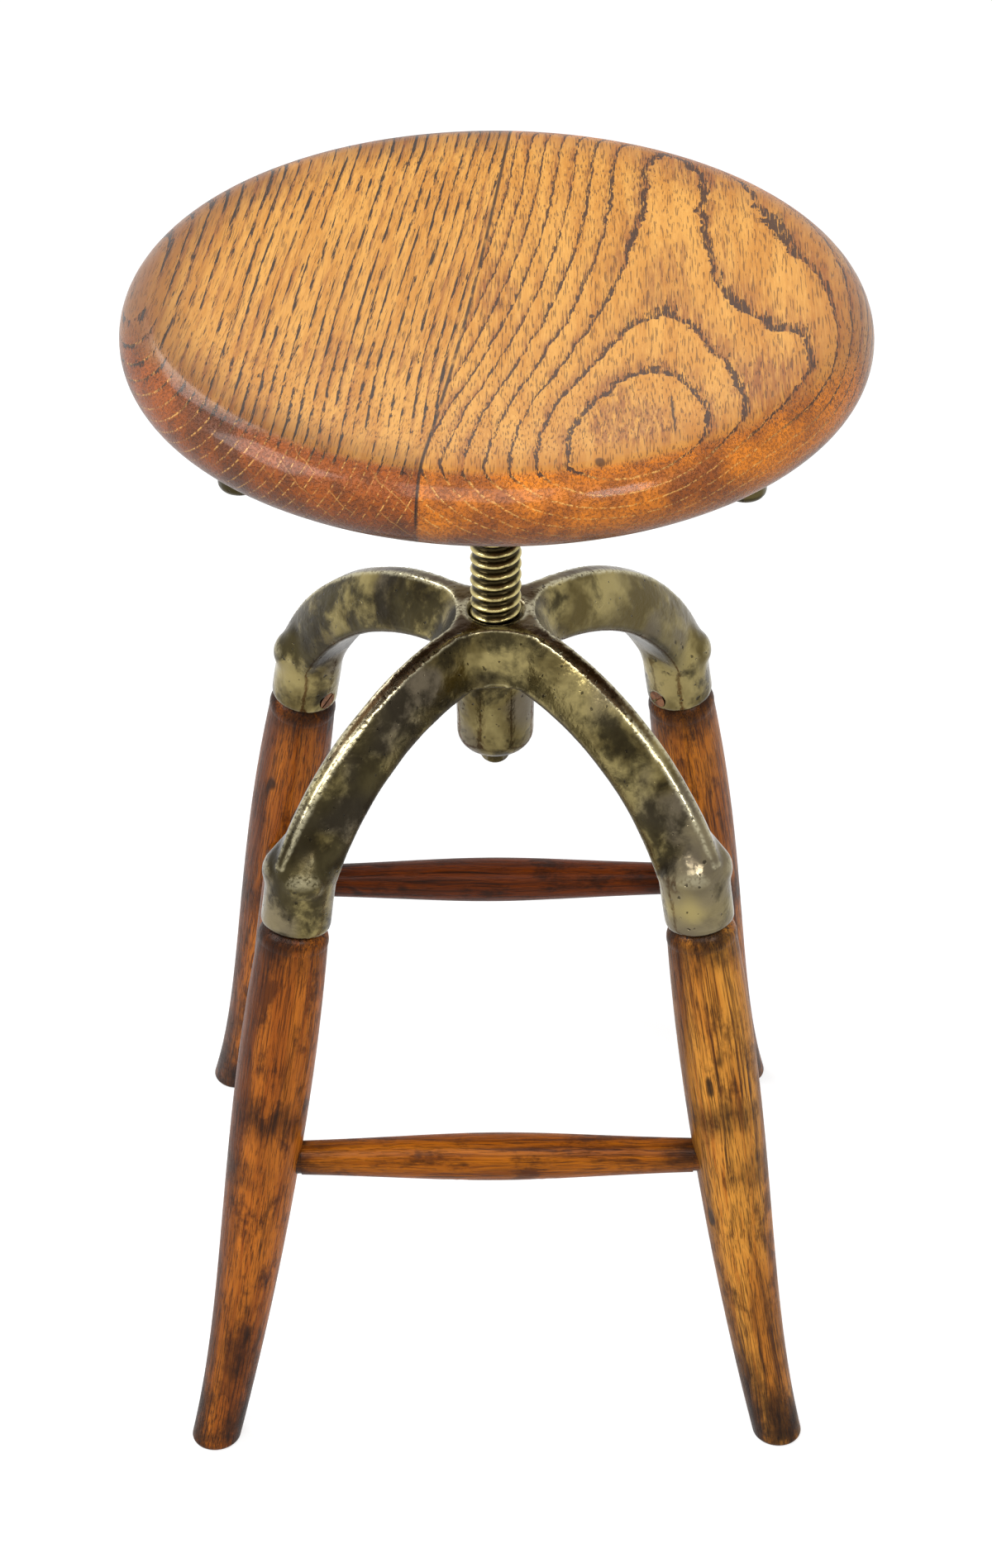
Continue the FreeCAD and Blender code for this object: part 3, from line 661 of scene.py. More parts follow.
    def stained(self, sheet: NodeSheet, colour: Socket, place: Socket, fibre: Socket, blot: Socket,
                glow: Socket) -> Socket:
        """Return the plain wood's colour with its ruddy shades and stains.

        Args:
            sheet: the material's nodes.
            colour: the colour below.
            place: the coordinates.
            fibre: fine streaks along the grain.
            blot: soft blotches along the grain.
            glow: the ruddy glow of each ring.

        Returns:
            The colour.
        """
        shade = sheet.times(glow, sheet.step(sheet.sums("ADD", blot, fibre), *self.shade_rise))
        colour = sheet.tint(colour, self.ruddy, shade, self.shade_share)
        stain = sheet.times(sheet.step(blot, *self.stain_blot), sheet.step(fibre, *self.stain_fibre))
        colour = sheet.tint(colour, self.ruddy, stain, self.stain_share)
        ragged = sheet.wander(place, *self.stain_bend)
        for soft in self.stains:
            streaked = sheet.step(fibre, *self.mark_fibre)
            colour = sheet.tint(colour, self.ruddy, sheet.spot(ragged, soft), streaked)
        return colour

    def end_grain(self, sheet: NodeSheet, place: Socket, line: Socket, blot: Socket,
                  fleck: Socket) -> Socket:
        """Return the colour of the rim where the grain ends.

        Args:
            sheet: the material's nodes.
            place: the coordinates.
            line: where each pore band starts.
            blot: soft blotches along the grain.
            fleck: fine flecks.

        Returns:
            The colour.
        """
        colour = sheet.mix(sheet.step(blot, *self.end_blot), self.end_warm, self.end_dark)
        patch = sheet.step(sheet.noise(place, self.patch), *self.patch_rise)
        colour = sheet.tint(colour, self.edge, patch, self.patch_share)
        colour = sheet.tint(colour, self.edge, sheet.step(fleck, *self.fleck_rise), self.fleck_share)
        pale = sheet.times(line, sheet.step(sheet.noise(place, self.arc), *self.arc_rise))
        group = sheet.step(sheet.noise(place, self.arc_group), *self.arc_group_rise)
        pale = sheet.times(pale, sheet.spread(group, self.arc_floor, 1.0))
        if self.rays:
            pale = sheet.sums("MAXIMUM", pale, sheet.times(self.ray(sheet, place), self.ray_share))
        return sheet.tint(colour, self.end_pale, pale, self.pale_share)

    def ray(self, sheet: NodeSheet, place: Socket) -> Socket:
        """Return the pale rays that run out from the heart across the end grain.

        Args:
            sheet: the material's nodes.
            place: the coordinates.

        Returns:
            A number from 0 to 1.
        """
        arm = sheet.split(sheet.vectors("SUBTRACT", sheet.wander(place, *self.ray_bend), self.heart))
        angle = sheet.times(sheet.sums("ARCTAN2", arm[2], arm[0]), self.rays)
        near = sheet.rest(sheet.step(sheet.sums("PINGPONG", angle, 0.5), *self.ray_edge))
        near = sheet.times(near, sheet.step(sheet.noise(place, self.ray_group), *self.ray_group_rise))
        return sheet.times(near, sheet.step(sheet.split(place)[0], *self.ray_fade))

    def aged(self, sheet: NodeSheet, colour: Socket, place: Socket, cloud: Socket) -> Socket:
        """Return the board's colour with its marks, its glue line and painted shade along the lower edge of
        its rim.

        Args:
            sheet: the material's nodes.
            colour: the colour below.
            place: the coordinates.
            cloud: soft clouds.

        Returns:
            The colour.
        """
        bent = sheet.wander(place, *self.mark_bend)
        for mark in self.marks:
            colour = sheet.mix(sheet.spot(bent, mark), colour, self.pore)
        seam = sheet.sums("ADD", sheet.vectors("DOT_PRODUCT", place, self.joint), self.joint_offset)
        glue = sheet.rest(sheet.step(sheet.sums("ABSOLUTE", seam), *self.glue))
        glue = sheet.times(glue, sheet.step(sheet.noise(place, self.glue_gap), *self.glue_gap_rise))
        colour = sheet.tint(colour, self.pore, glue, self.glue_share)
        # Painted shade: the rim darkens towards its lower edge, in soft clouds.
        foot_shade = sheet.rest(sheet.step(sheet.split(place)[2], *self.foot))
        uneven = sheet.spread(sheet.step(cloud, *self.foot_shade_cloud), *self.foot_shade_range)
        return sheet.tint(colour, self.edge, sheet.times(foot_shade, uneven), self.foot_shade_share)


@dataclass(frozen=True)
class StainedTurning:
    """Dark stained, varnished wood turned on a lathe, streaked along its own axis.

    A pair is where a soft rise or a range starts and ends, or a wander's waves in a metre and its reach.
    Patterns have the axis last.
    """

    name: str
    centre: Triple
    turn: Triple
    half_length: float
    dark_ends: Pair
    shift: float
    # Painted shadows where other pieces meet this one.
    joints: tuple[Mark, ...] = ()
    joint_bend: Pair = (120.0, 0.005)
    shift_ways: Triple = (1.0, 0.7, 0.3)
    bend: Pair = (13.0, 0.004)
    streak: Pattern = Pattern((380.0, 380.0, 9.0), 4.0, 0.66)
    light_stops: Pair = (0.30, 0.52)
    streak_rise: Pair = (0.53, 0.68)
    streak_share: float = 0.85
    broad: Pattern = Pattern((62.0, 62.0, 7.0), 3.0, 0.55)
    broad_rise: Pair = (0.44, 0.64)
    broad_share: float = 0.75
    mottle: Pattern = Pattern((60.0, 60.0, 34.0), 5.0, 0.7)
    mottle_rise: Pair = (0.50, 0.66)
    mottled: float = 0.7
    knot: Pattern = Pattern((90.0, 90.0, 42.0), 1.0)
    knot_rise: Pair = (0.68, 0.78)
    knot_share: float = 0.85
    fine: Pattern = Pattern((1700.0, 1700.0, 38.0), 2.0, 0.6)
    pore_rise: Pair = (0.52, 0.66)
    porous: float = 0.62
    heart: Pair = (0.021, 0.012)
    taper: float = 0.09
    rings_per_metre: float = 240.0
    ring_rise: Pair = (0.55, 0.95)
    ring_broad: Pair = (0.36, 0.60)
    ring_share: float = 0.6
    # Faces that look this way, to the left, get painted shade.
    stained_side: Triple = (-1.0, 0.0, 0.0)
    side_broad: float = 0.9
    side_rise: Pair = (0.75, 1.35)
    side_shade_share: float = 0.72
    end_mottle: Pair = (0.30, 0.54)
    end_share: float = 0.88
    pore_depth: float = 0.0003
    streak_depth: float = 0.0005
    rough: Pair = (0.24, 0.48)
    varnish: Varnish = Varnish(0.09, 0.07, 0.2)
    light: Tone = tone(196, 118, 44)
    brown: Tone = tone(150, 80, 26)
    dark: Tone = tone(70, 32, 9)
    shade: Tone = tone(26, 12, 4)

    def material(self) -> bpy.types.Material:
        """Lay out the turned piece's nodes.

        Returns:
            The finished material.
        """
        sheet = NodeSheet(bpy.data.materials.new(self.name))
        place = sheet.place()
        own = sheet.laid(place, self.centre, self.turn)
        moved = sheet.vectors("ADD", own, self.shifts())
        bent = sheet.wander(moved, *self.bend)
        streak = sheet.noise(bent, self.streak)
        broad = sheet.noise(bent, self.broad)
        mottle = sheet.noise(moved, self.mottle)
        spots = sheet.step(sheet.noise(bent, self.knot), *self.knot_rise)
        pores = sheet.step(sheet.noise(moved, self.fine), *self.pore_rise)
        rings = sheet.times(self.rings(sheet, bent), sheet.step(broad, *self.ring_broad))
        # Painted shade: faces that look left are darker, as on the side away from the light.
        side = sheet.vectors("DOT_PRODUCT", sheet.facing(), self.stained_side)
        side = sheet.sums("ADD", side, sheet.times(broad, self.side_broad))
        ends = sheet.times(self.ends(sheet, own), sheet.step(mottle, *self.end_mottle))
        colour = sheet.ramp(streak, (self.light_stops[0], self.brown), (self.light_stops[1], self.light))
        for over, share, strength in (
            (self.brown, sheet.step(broad, *self.broad_rise), self.broad_share),
            (self.dark, rings, self.ring_share),
            (self.dark, sheet.step(streak, *self.streak_rise), self.streak_share),
            (self.dark, sheet.step(mottle, *self.mottle_rise), self.mottled),
            (self.dark, sheet.step(side, *self.side_rise), self.side_shade_share),
            (self.shade, spots, self.knot_share),
            (self.shade, pores, self.porous),
            (self.shade, ends, self.end_share),
        ):
            colour = sheet.tint(colour, over, share, strength)
        # Painted shadow: dark spots where the stretchers meet the piece, ragged at the edge.
        joint_shadow_place = sheet.wander(place, *self.joint_bend)
        for joint in self.joints:
            colour = sheet.mix(sheet.spot(joint_shadow_place, joint), colour, self.shade)
        rough = sheet.spread(mottle, *self.rough)
        height = sheet.rest(sheet.sums("MAXIMUM", pores, spots))
        normal = sheet.relief(height, self.pore_depth, sheet.relief(streak, self.streak_depth))
        return sheet.surface(colour, rough, normal, varnish=self.varnish)

    def shifts(self) -> Triple:
        """Return how far the pattern is moved each way, so that no two pieces are alike."""
        return tuple(self.shift * way for way in self.shift_ways)

    def rings(self, sheet: NodeSheet, bent: Socket) -> Socket:
        """Return the dark part of the growth rings about the piece's heart.

        Args:
            sheet: the material's nodes.
            bent: the coordinates that the pattern has moved to.

        Returns:
            A number from 0 to 1.
        """
        moves = self.shifts()
        heart = (self.heart[0] - moves[0], self.heart[1] - moves[1], -moves[2])
        arm = sheet.vectors("MULTIPLY", sheet.vectors("ADD", bent, heart), (1.0, 1.0, self.taper))
        count = sheet.times(sheet.vectors("LENGTH", arm), self.rings_per_metre)
        return sheet.step(sheet.sums("FRACT", count), *self.ring_rise)

    def ends(self, sheet: NodeSheet, own: Socket) -> Socket:
        """Return how near a point is to the piece's dark ends.

        Args:
            sheet: the material's nodes.
            own: the coordinates with the axis on Z.

        Returns:
            A number from 0 to 1.
        """
        tall = sheet.split(own)[2]
        low = sheet.rest(sheet.step(tall, -self.half_length, self.dark_ends[0] - self.half_length))
        high = sheet.step(tall, self.half_length - self.dark_ends[1], self.half_length)
        return sheet.sums("MAXIMUM", low, high)


@dataclass(frozen=True)
class AgedCasting:
    """Cast brass gone olive, with grey and dark patina, sand pits and ridges rubbed bright; painted
    highlights on ridges that face up, painted shade towards the front left, a painted brown reflection on
    faces that look up and a painted dark reflection on faces that look down.

    A pair is where a soft rise or a range starts and ends, or a wander's waves in a metre and its reach.
    """

    name: str
    worn: str = ""
    bend: Pair = (34.0, 0.007)
    cloud: Pattern = Pattern(30.0, 4.0, 0.6)
    gold_rise: Pair = (0.38, 0.62)
    haze: Pattern = Pattern(23.0)
    haze_rise: Pair = (0.50, 0.64)
    haze_share: float = 0.7
    patch: Pattern = Pattern(36.0, 6.0, 0.66)
    patch_rise: Pair = (0.43, 0.62)
    patina_and_shade_share: float = 0.85
    # Which way the painted shade grows darker: to the left and the front.
    shade_lean: Triple = (-1.35, -0.8, 0.0)
    socket_top: Pair = (0.325, 0.345)
    socket_shade_lean: Pair = (1.0, 0.15)
    socket_ease: float = 0.02
    # Faces turning downwards get a painted dark reflection.
    underside: Pair = (-0.42, 0.22)
    underside_cloud: Pair = (0.30, 0.55)
    socket_under: Pair = (1.0, 0.25)
    barrel: Pair = (0.027, 0.034)
    barrel_under: Pair = (0.45, 1.0)
    hollow_rise: Pair = (0.02, 0.25)
    ridge_rise: Pair = (0.08, 0.30)
    ridge_highlight_facing: Pair = (0.0, 0.45)
    ridge_grain: Pair = (0.30, 0.55)
    ridge_wear_and_highlight_share: float = 0.6
    top_facing: Pair = (0.72, 0.90)
    top_cloud: Pair = (0.28, 0.46)
    top_reflection_share: float = 0.8
    grain: Pattern = Pattern(520.0, 3.0, 0.6)
    grain_height: float = 0.35
    pit: Pattern = Pattern(300.0, 1.0)
    pit_rise: Pair = (0.70, 0.77)
    pit_share: float = 0.7
    pit_depth: float = 0.0003
    cloud_depth: float = 0.0014
    metal: float = 0.94
    rough: Pair = (0.12, 0.24)
    patina_rough: float = 0.12
    gold: Tone = tone(160, 145, 95)
    olive: Tone = tone(92, 80, 46)
    grey: Tone = tone(106, 97, 84)
    patina_and_shade: Tone = tone(28, 23, 14)
    brown: Tone = tone(66, 46, 23)
    bright: Tone = tone(222, 214, 180)

    def material(self) -> bpy.types.Material:
        """Lay out the casting's nodes.

        Returns:
            The finished material.
        """
        sheet = NodeSheet(bpy.data.materials.new(self.name))
        place = sheet.place()
        bent = sheet.wander(place, *self.bend)
        cloud = sheet.noise(bent, self.cloud)
        grain = sheet.noise(place, self.grain)
        pits = sheet.step(sheet.noise(place, self.pit), *self.pit_rise)
        facing = sheet.split(sheet.facing())[2]
        outer = sheet.step(sheet.from_axis(place), *self.barrel)
        dark = self.darkened(sheet, place, sheet.noise(bent, self.patch), cloud, facing, outer)
        if self.worn:
            wear = sheet.attribute(self.worn)
            hollow = sheet.step(sheet.sums("SUBTRACT", 0.5, wear), *self.hollow_rise)
            ridge = sheet.step(sheet.sums("SUBTRACT", wear, 0.5), *self.ridge_rise)
            # Painted highlight: the rubbed ridges stay bright only where they face up.
            ridge = sheet.times(ridge, sheet.step(facing, *self.ridge_highlight_facing))
            ridge = sheet.times(ridge, sheet.step(grain, *self.ridge_grain))
            dark = sheet.sums("MAXIMUM", dark, sheet.times(hollow, outer))
            dark = sheet.times(dark, sheet.rest(ridge))
        colour = sheet.mix(sheet.step(cloud, *self.gold_rise), self.olive, self.gold)
        haze = sheet.step(sheet.noise(place, self.haze), *self.haze_rise)
        colour = sheet.tint(colour, self.grey, haze, self.haze_share)
        colour = sheet.tint(colour, self.patina_and_shade, dark, self.patina_and_shade_share)
        # Painted dark reflection: faces that look up, such as the arms' narrow tops, are laid over with
        # brown.
        top = sheet.times(sheet.step(facing, *self.top_facing), sheet.step(cloud, *self.top_cloud))
        colour = sheet.tint(colour, self.brown, top, self.top_reflection_share)
        if self.worn:
            # Ridges rubbed bright, with a painted highlight where they face up.
            colour = sheet.tint(colour, self.bright, ridge, self.ridge_wear_and_highlight_share)
        colour = sheet.tint(colour, self.patina_and_shade, pits, self.pit_share)
        rough = sheet.sums("ADD", sheet.spread(grain, *self.rough), sheet.times(dark, self.patina_rough))
        height = sheet.sums("SUBTRACT", sheet.times(grain, self.grain_height), pits)
        normal = sheet.relief(height, self.pit_depth, sheet.relief(cloud, self.cloud_depth))
        return sheet.surface(colour, rough, normal, metal=self.metal)

    def darkened(self, sheet: NodeSheet, place: Socket, patch: Socket, cloud: Socket, facing: Socket,
                 outer: Socket) -> Socket:
        """Return how dark the patina, the painted shade and the painted dark reflection are, less on the
        sockets and the barrel.

        Args:
            sheet: the material's nodes.
            place: the coordinates.
            patch: ragged patches.
            cloud: soft clouds.
            facing: how far the surface faces up.
            outer: 0 at the barrel and 1 outside it.

        Returns:
            A number from 0 to 1.
        """
        low = sheet.rest(sheet.step(sheet.split(place)[2], *self.socket_top))
        # Painted shade: the patina patches are pushed darker towards the front left, mostly above the
        # sockets.
        shade_lean = sheet.vectors("DOT_PRODUCT", place, self.shade_lean)
        shade_lean = sheet.times(shade_lean, sheet.spread(low, *self.socket_shade_lean))
        shade_lean = sheet.sums("SUBTRACT", shade_lean, sheet.times(low, self.socket_ease))
        dark = sheet.step(sheet.sums("ADD", patch, shade_lean), *self.patch_rise)
        # Painted dark reflection: faces that look down are darkened, in clouds, less on the sockets and the
        # barrel.
        under = sheet.step(sheet.times(facing, -1.0), *self.underside)
        under = sheet.times(under, sheet.spread(low, *self.socket_under))
        under = sheet.times(under, sheet.spread(outer, *self.barrel_under))
        return sheet.sums("MAXIMUM", dark, sheet.times(under, sheet.step(cloud, *self.underside_cloud)))


@dataclass(frozen=True)
class WornThread:
    """A thread rubbed bright on its crests and dark in its grooves."""

    name: str
    crest: float
    depth: float
    crest_share: float = 0.15
    dirt: Pattern = Pattern(160.0, 4.0, 0.6)
    dirt_rise: Pair = (0.24, 0.56)
    dirt_depth: float = 0.0003
    metal: float = 0.95
    rough: Pair = (0.16, 0.34)
    bright: Tone = tone(206, 190, 130)
    groove: Tone = tone(52, 44, 24)

    def material(self) -> bpy.types.Material:
        """Lay out the thread's nodes.

        Returns:
            The finished material.
        """
        sheet = NodeSheet(bpy.data.materials.new(self.name))
        place = sheet.place()
        rubbed_end = self.crest - self.depth * self.crest_share
        rubbed = sheet.step(sheet.from_axis(place), self.crest - self.depth, rubbed_end)
        dirt = sheet.noise(place, self.dirt)
        colour = sheet.tint(self.groove, self.bright, rubbed, sheet.step(dirt, *self.dirt_rise))
        rough = sheet.spread(dirt, *self.rough)
        return sheet.surface(colour, rough, sheet.relief(dirt, self.dirt_depth), metal=self.metal)


@dataclass(frozen=True)
class AgedScrew:
    """Small metal gone brown or grey, scuffed by tools."""

    name: str
    clean: Tone
    brown: Tone
    metal: float = 0.85
    blotch: Pattern = Pattern(210.0, 4.0, 0.62)
    blotch_rise: Pair = (0.38, 0.66)
    scuff: Pattern = Pattern((300.0, 1800.0, 900.0))
    scuff_rise: Pair = (0.62, 0.74)
    scuff_share: float = 0.4
    rough: Pair = (0.28, 0.52)
    depth: float = 0.0002

    def material(self) -> bpy.types.Material:
        """Lay out the small metal's nodes.

        Returns:
            The finished material.
        """
        sheet = NodeSheet(bpy.data.materials.new(self.name))
        place = sheet.place()
        blotch = sheet.noise(place, self.blotch)
        scuff = sheet.noise(place, self.scuff)
        colour = sheet.mix(sheet.step(blotch, *self.blotch_rise), self.clean, self.brown)
        colour = sheet.tint(colour, self.clean, sheet.step(scuff, *self.scuff_rise), self.scuff_share)
        height = sheet.sums("ADD", blotch, sheet.times(scuff, self.scuff_share))
        normal = sheet.relief(height, self.depth)
        return sheet.surface(colour, sheet.spread(blotch, *self.rough), normal, metal=self.metal)


@dataclass(frozen=True)
class BareDowel:
    """Bare pale wood, streaked along X."""

    name: str
    lines: Pattern = Pattern((30.0, 900.0, 900.0), 3.0)
    line_rise: Pair = (0.36, 0.66)
    rough: Pair = (0.55, 0.75)
    depth: float = 0.0002
    pale: Tone = tone(206, 176, 128)
    streak: Tone = tone(164, 126, 80)

    def material(self) -> bpy.types.Material:
        """Lay out the dowel's nodes.

        Returns:
            The finished material.
        """
        sheet = NodeSheet(bpy.data.materials.new(self.name))
        lines = sheet.noise(sheet.place(), self.lines)
        colour = sheet.mix(sheet.step(lines, *self.line_rise), self.pale, self.streak)
        return sheet.surface(colour, sheet.spread(lines, *self.rough), sheet.relief(lines, self.depth))


def dress(node: str, material: bpy.types.Material) -> None:
    """Give a carried-over node its material.

    Args:
        node: the node's name.
        material: the material for all of it.
    """
    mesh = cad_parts[node].data
    if not mesh.materials:
        mesh.materials.append(material)
    for place in range(len(mesh.materials)):
        mesh.materials[place] = material
    log.info("dressed %s in %s", node, material.name)


@dataclass
class Seat:
    """The two oak boards and the dowels across their glue joint."""

    left_heart: Triple = (-0.270, 0.0, 0.730)
    left_grain: Triple = (0.139, 0.990, 0.01)
    left_ring: float = 0.0044
    left_core: float = 0.0
    right_heart: Triple = (0.0863, 0.0, 0.6936)
    right_lean: Triple = (0.2276, 1.0, 0.0363)
    right_grain: Triple = (0.03, 1.0, 0.0)
    right_ring: float = 0.00495
    right_core: float = 0.09907
    swells: tuple[Swell, ...] = (
        Swell(-0.0210, (0.1567, -0.0948, 0.0), (0.0413, 0.1596, 1.0)),
        Swell(0.0218, (0.1354, 0.2196, 0.0), (0.0487, 0.3978, 1.0)),
        Swell(0.0120, (0.0033, -0.1723, 0.0), (0.0762, 0.0527, 1.0)),
    )
    crack: Mark = Mark((0.0776, -0.109, 0.598), (0.0008, 0.028, 0.02))
    hole: Mark = Mark((0.0442, -0.0077, 0.5906), (0.0017, 0.0024, 0.004))
    knot: Mark = Mark((0.0432, -0.1544, 0.6002), (0.0030, 0.0042, 0.005), 0.8)
    stains: tuple[Mark, ...] = (
        Mark((0.058, -0.116, 0.597), (0.026, 0.036, 0.03), 0.75),
        Mark((0.122, -0.089, 0.599), (0.026, 0.036, 0.03), 0.75),
        Mark((0.105, 0.130, 0.600), (0.030, 0.040, 0.03), 0.6),
        Mark((0.000, 0.020, 0.590), (0.012, 0.030, 0.03), 0.6),
    )

    def left_oak(self) -> OakBoard:
        """Return the left board's oak, with straight rows of long pores."""
        return OakBoard(
            "oak_left_board", self.left_heart, self.left_grain, self.left_grain, self.left_ring,
            self.left_core, sway=0.0010, uneven=0.9, dash=Pattern((620.0, 620.0, 40.0), 1.0), broken=0.622,
            faded=0.12, rays=27.0, ripple=0.0002, quick=0.04, band_fade=(0.08, 0.46), edge_line=0.02,
            hair_share=0.36, arc_floor=0.25, rim_darkening=0.85, pore=tone(30, 16, 6),
            end_warm=tone(150, 76, 20), end_dark=tone(94, 47, 14),
        )

    def right_oak(self) -> OakBoard:
        """Return the right board's oak, with a flame figure."""
        return OakBoard(
            "oak_right_board", self.right_heart, self.right_lean, self.right_grain, self.right_ring,
            self.right_core, sway=0.0012, uneven=0.25, dash=Pattern((1500.0, 1500.0, 100.0), 1.0),
            broken=0.655, faded=0.07, marks=(self.crack, self.hole, self.knot), stains=self.stains,
            swells=self.swells, band_fade=(0.08, 0.32), pore=tone(56, 30, 13),
            end_warm=tone(226, 130, 30), end_dark=tone(142, 74, 22),
        )

    def dress(self) -> None:
        """Give the boards and dowels their wood."""
        dress("seat_board_left", self.left_oak().material())
        dress("seat_board_right", self.right_oak().material())
        dress("seat_dowels", BareDowel("bare_dowels").material())


@dataclass
class SeatMetal:
    """The casting under the seat, its screws, and the threaded post with its pin and stop."""

    thread_crest: float = 0.0127
    thread_depth: float = 0.0016

    def dress(self) -> None:
        """Give the seat's metal its finishes."""
        steel = AgedScrew("aged_steel", tone(150, 144, 132), tone(92, 78, 62)).material()
        under_seat = AgedCasting("seat_casting_brass", gold=tone(132, 118, 72), olive=tone(92, 80, 44))
        dress("seat_spider", under_seat.material())
        for node in ("seat_screws", "post_pin", "stop_washer"):
            dress(node, steel)
        dress("seat_post", WornThread("post_thread_brass", self.thread_crest, self.thread_depth).material())
        dress("stop_bolt", AgedCasting("stop_bolt_brass", gold=tone(140, 124, 76)).material())


@dataclass
class BaseSpider:
    """The casting that carries the seat: hub, barrel, arms and sockets, softened as cast metal is."""

    merge: float = 0.000002
    skin: float = 0.0013
    fill_passes: int = 45
    wear_passes: int = 14
    ease: float = 0.6
    wear_height: float = 0.0022
    bore_reach: float = 0.0185
    socket_circle: float = 0.141
    socket_rim: float = 0.302
    socket_bore: float = 0.0145
    socket_depth: float = 0.032
    below_rim: float = 0.003
    splay: float = 11.2
    screw_side: float = 0.0169
    screw_height: float = 0.0075
    screw_room: float = 0.0085
    waves: tuple[Pair, ...] = ((38.0, 0.00035), (110.0, 0.00012))

    def build(self) -> bpy.types.Object:
        """Make the softened casting from a copy of the node.

        Returns:
            The new piece.
        """
        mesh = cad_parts["base_spider"].data.copy()
        shape = bmesh.new()
        shape.from_mesh(mesh)
        bmesh.ops.remove_doubles(shape, verts=shape.verts, dist=self.merge)
        shape.to_mesh(mesh)
        shape.free()
        piece = bpy.data.objects.new("base_spider_cast", mesh)
        bpy.context.scene.collection.objects.link(piece)
        even = piece.modifiers.new("even_skin", "REMESH")
        even.mode = "VOXEL"
        even.voxel_size = self.skin
        ready = piece.evaluated_get(bpy.context.evaluated_depsgraph_get())
        piece.data = bpy.data.meshes.new_from_object(ready)
        piece.modifiers.clear()
        self.soften(piece.data)
        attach(piece, "base")
        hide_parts("base_spider")
        log.info("cast base_spider_cast with %d faces", len(piece.data.polygons))
        return piece

    def soften(self, mesh: bpy.types.Mesh) -> None:
        """Fill the hollow corners as fillets do, make the skin a little uneven and note its wear.

        Args:
            mesh: the casting's even mesh, which is changed.
        """
        spots = np.zeros(len(mesh.vertices) * 3)
        mesh.vertices.foreach_get("co", spots)
        spots = spots.reshape(-1, 3)
        edges = np.zeros(len(mesh.edges) * 2, dtype=np.int32)
        mesh.edges.foreach_get("vertices", edges)
        edges = edges.reshape(-1, 2)
        free = ~self.kept(spots)
        for _ in range(self.fill_passes):
            out = self.outward(mesh, spots)
            step = self.neighbours(spots, edges) - spots
            rising = free & ((step * out).sum(1) > 0)
            spots[rising] += step[rising] * self.ease
        out = self.outward(mesh, spots)
        for number in np.nonzero(free)[0]:
            place = Vector(spots[number])
            lift = sum(noise.noise(place * scale) * height for scale, height in self.waves)
            spots[number] += out[number] * lift
        flat = spots.copy()
        for _ in range(self.wear_passes):
            flat += (self.neighbours(flat, edges) - flat) * self.ease
        lift = ((spots - flat) * self.outward(mesh, spots)).sum(1)
        wear = mesh.attributes.new("wear", "FLOAT", "POINT")
        wear.data.foreach_set("value", np.clip(0.5 + lift / self.wear_height, 0.0, 1.0))
        mesh.polygons.foreach_set("use_smooth", [True] * len(mesh.polygons))
        mesh.update()

    def outward(self, mesh: bpy.types.Mesh, spots: np.ndarray) -> np.ndarray:
        """Move a mesh's points and return the way that each one faces.

        Args:
            mesh: the mesh.
            spots: where its points go.

        Returns:
            One direction for each point.
        """
        mesh.vertices.foreach_set("co", spots.ravel())
        mesh.update()
        ways = np.zeros(len(spots) * 3)
        mesh.vertex_normals.foreach_get("vector", ways)
        return ways.reshape(-1, 3)

    def neighbours(self, spots: np.ndarray, edges: np.ndarray) -> np.ndarray:
        """Return the middle of each point's neighbours.

        Args:
            spots: the points.
            edges: pairs of neighbours.

        Returns:
            One place for each point.
        """
        ends = np.concatenate((edges[:, 0], edges[:, 1]))
        others = np.concatenate((edges[:, 1], edges[:, 0]))
        number = np.maximum(np.bincount(ends, minlength=len(spots)), 1)
        sums = [np.bincount(ends, weights=spots[others, axis], minlength=len(spots)) for axis in range(3)]
        return np.stack(sums, 1) / number[:, None]

    def kept(self, spots: np.ndarray) -> np.ndarray:
        """Return which points lie in a bore or at a screw, and stay as they are.

        Args:
            spots: the points.

        Returns:
            True for each point that stays.
        """
        stays = np.hypot(spots[:, 0], spots[:, 1]) < self.bore_reach
        splay = math.radians(self.splay)
        up = np.array((-math.sin(splay), 0.0, math.cos(splay)))
        side = np.array((math.cos(splay), 0.0, math.sin(splay)))
        screw = side * -self.screw_side + up * self.screw_height
        for corner in Corner:
            angle = math.radians(corner.value)
            along = spots[:, 0] * math.cos(angle) + spots[:, 1] * math.sin(angle)
            across = spots[:, 1] * math.cos(angle) - spots[:, 0] * math.sin(angle)
            arm = np.stack((along - self.socket_circle, across, spots[:, 2] - self.socket_rim), 1)
            rise = arm @ up
            round_axis = np.linalg.norm(arm - rise[:, None] * up, axis=1)
            stays |= (round_axis < self.socket_bore) & (rise < self.socket_depth) & (rise > -self.below_rim)
            stays |= np.linalg.norm(arm - screw, axis=1) < self.screw_room
        return stays

    def dress(self) -> None:
        """Make the casting and give it and its socket screws their finishes."""
        brass = AgedCasting("base_casting_brass", worn="wear").material()
        dress("base_spider", brass)
        self.build().data.materials.append(brass)
        copper = AgedScrew("socket_screw_copper", tone(146, 98, 62), tone(92, 57, 34)).material()
        for corner in Corner:
            dress("socket_screw_" + corner.word, copper)


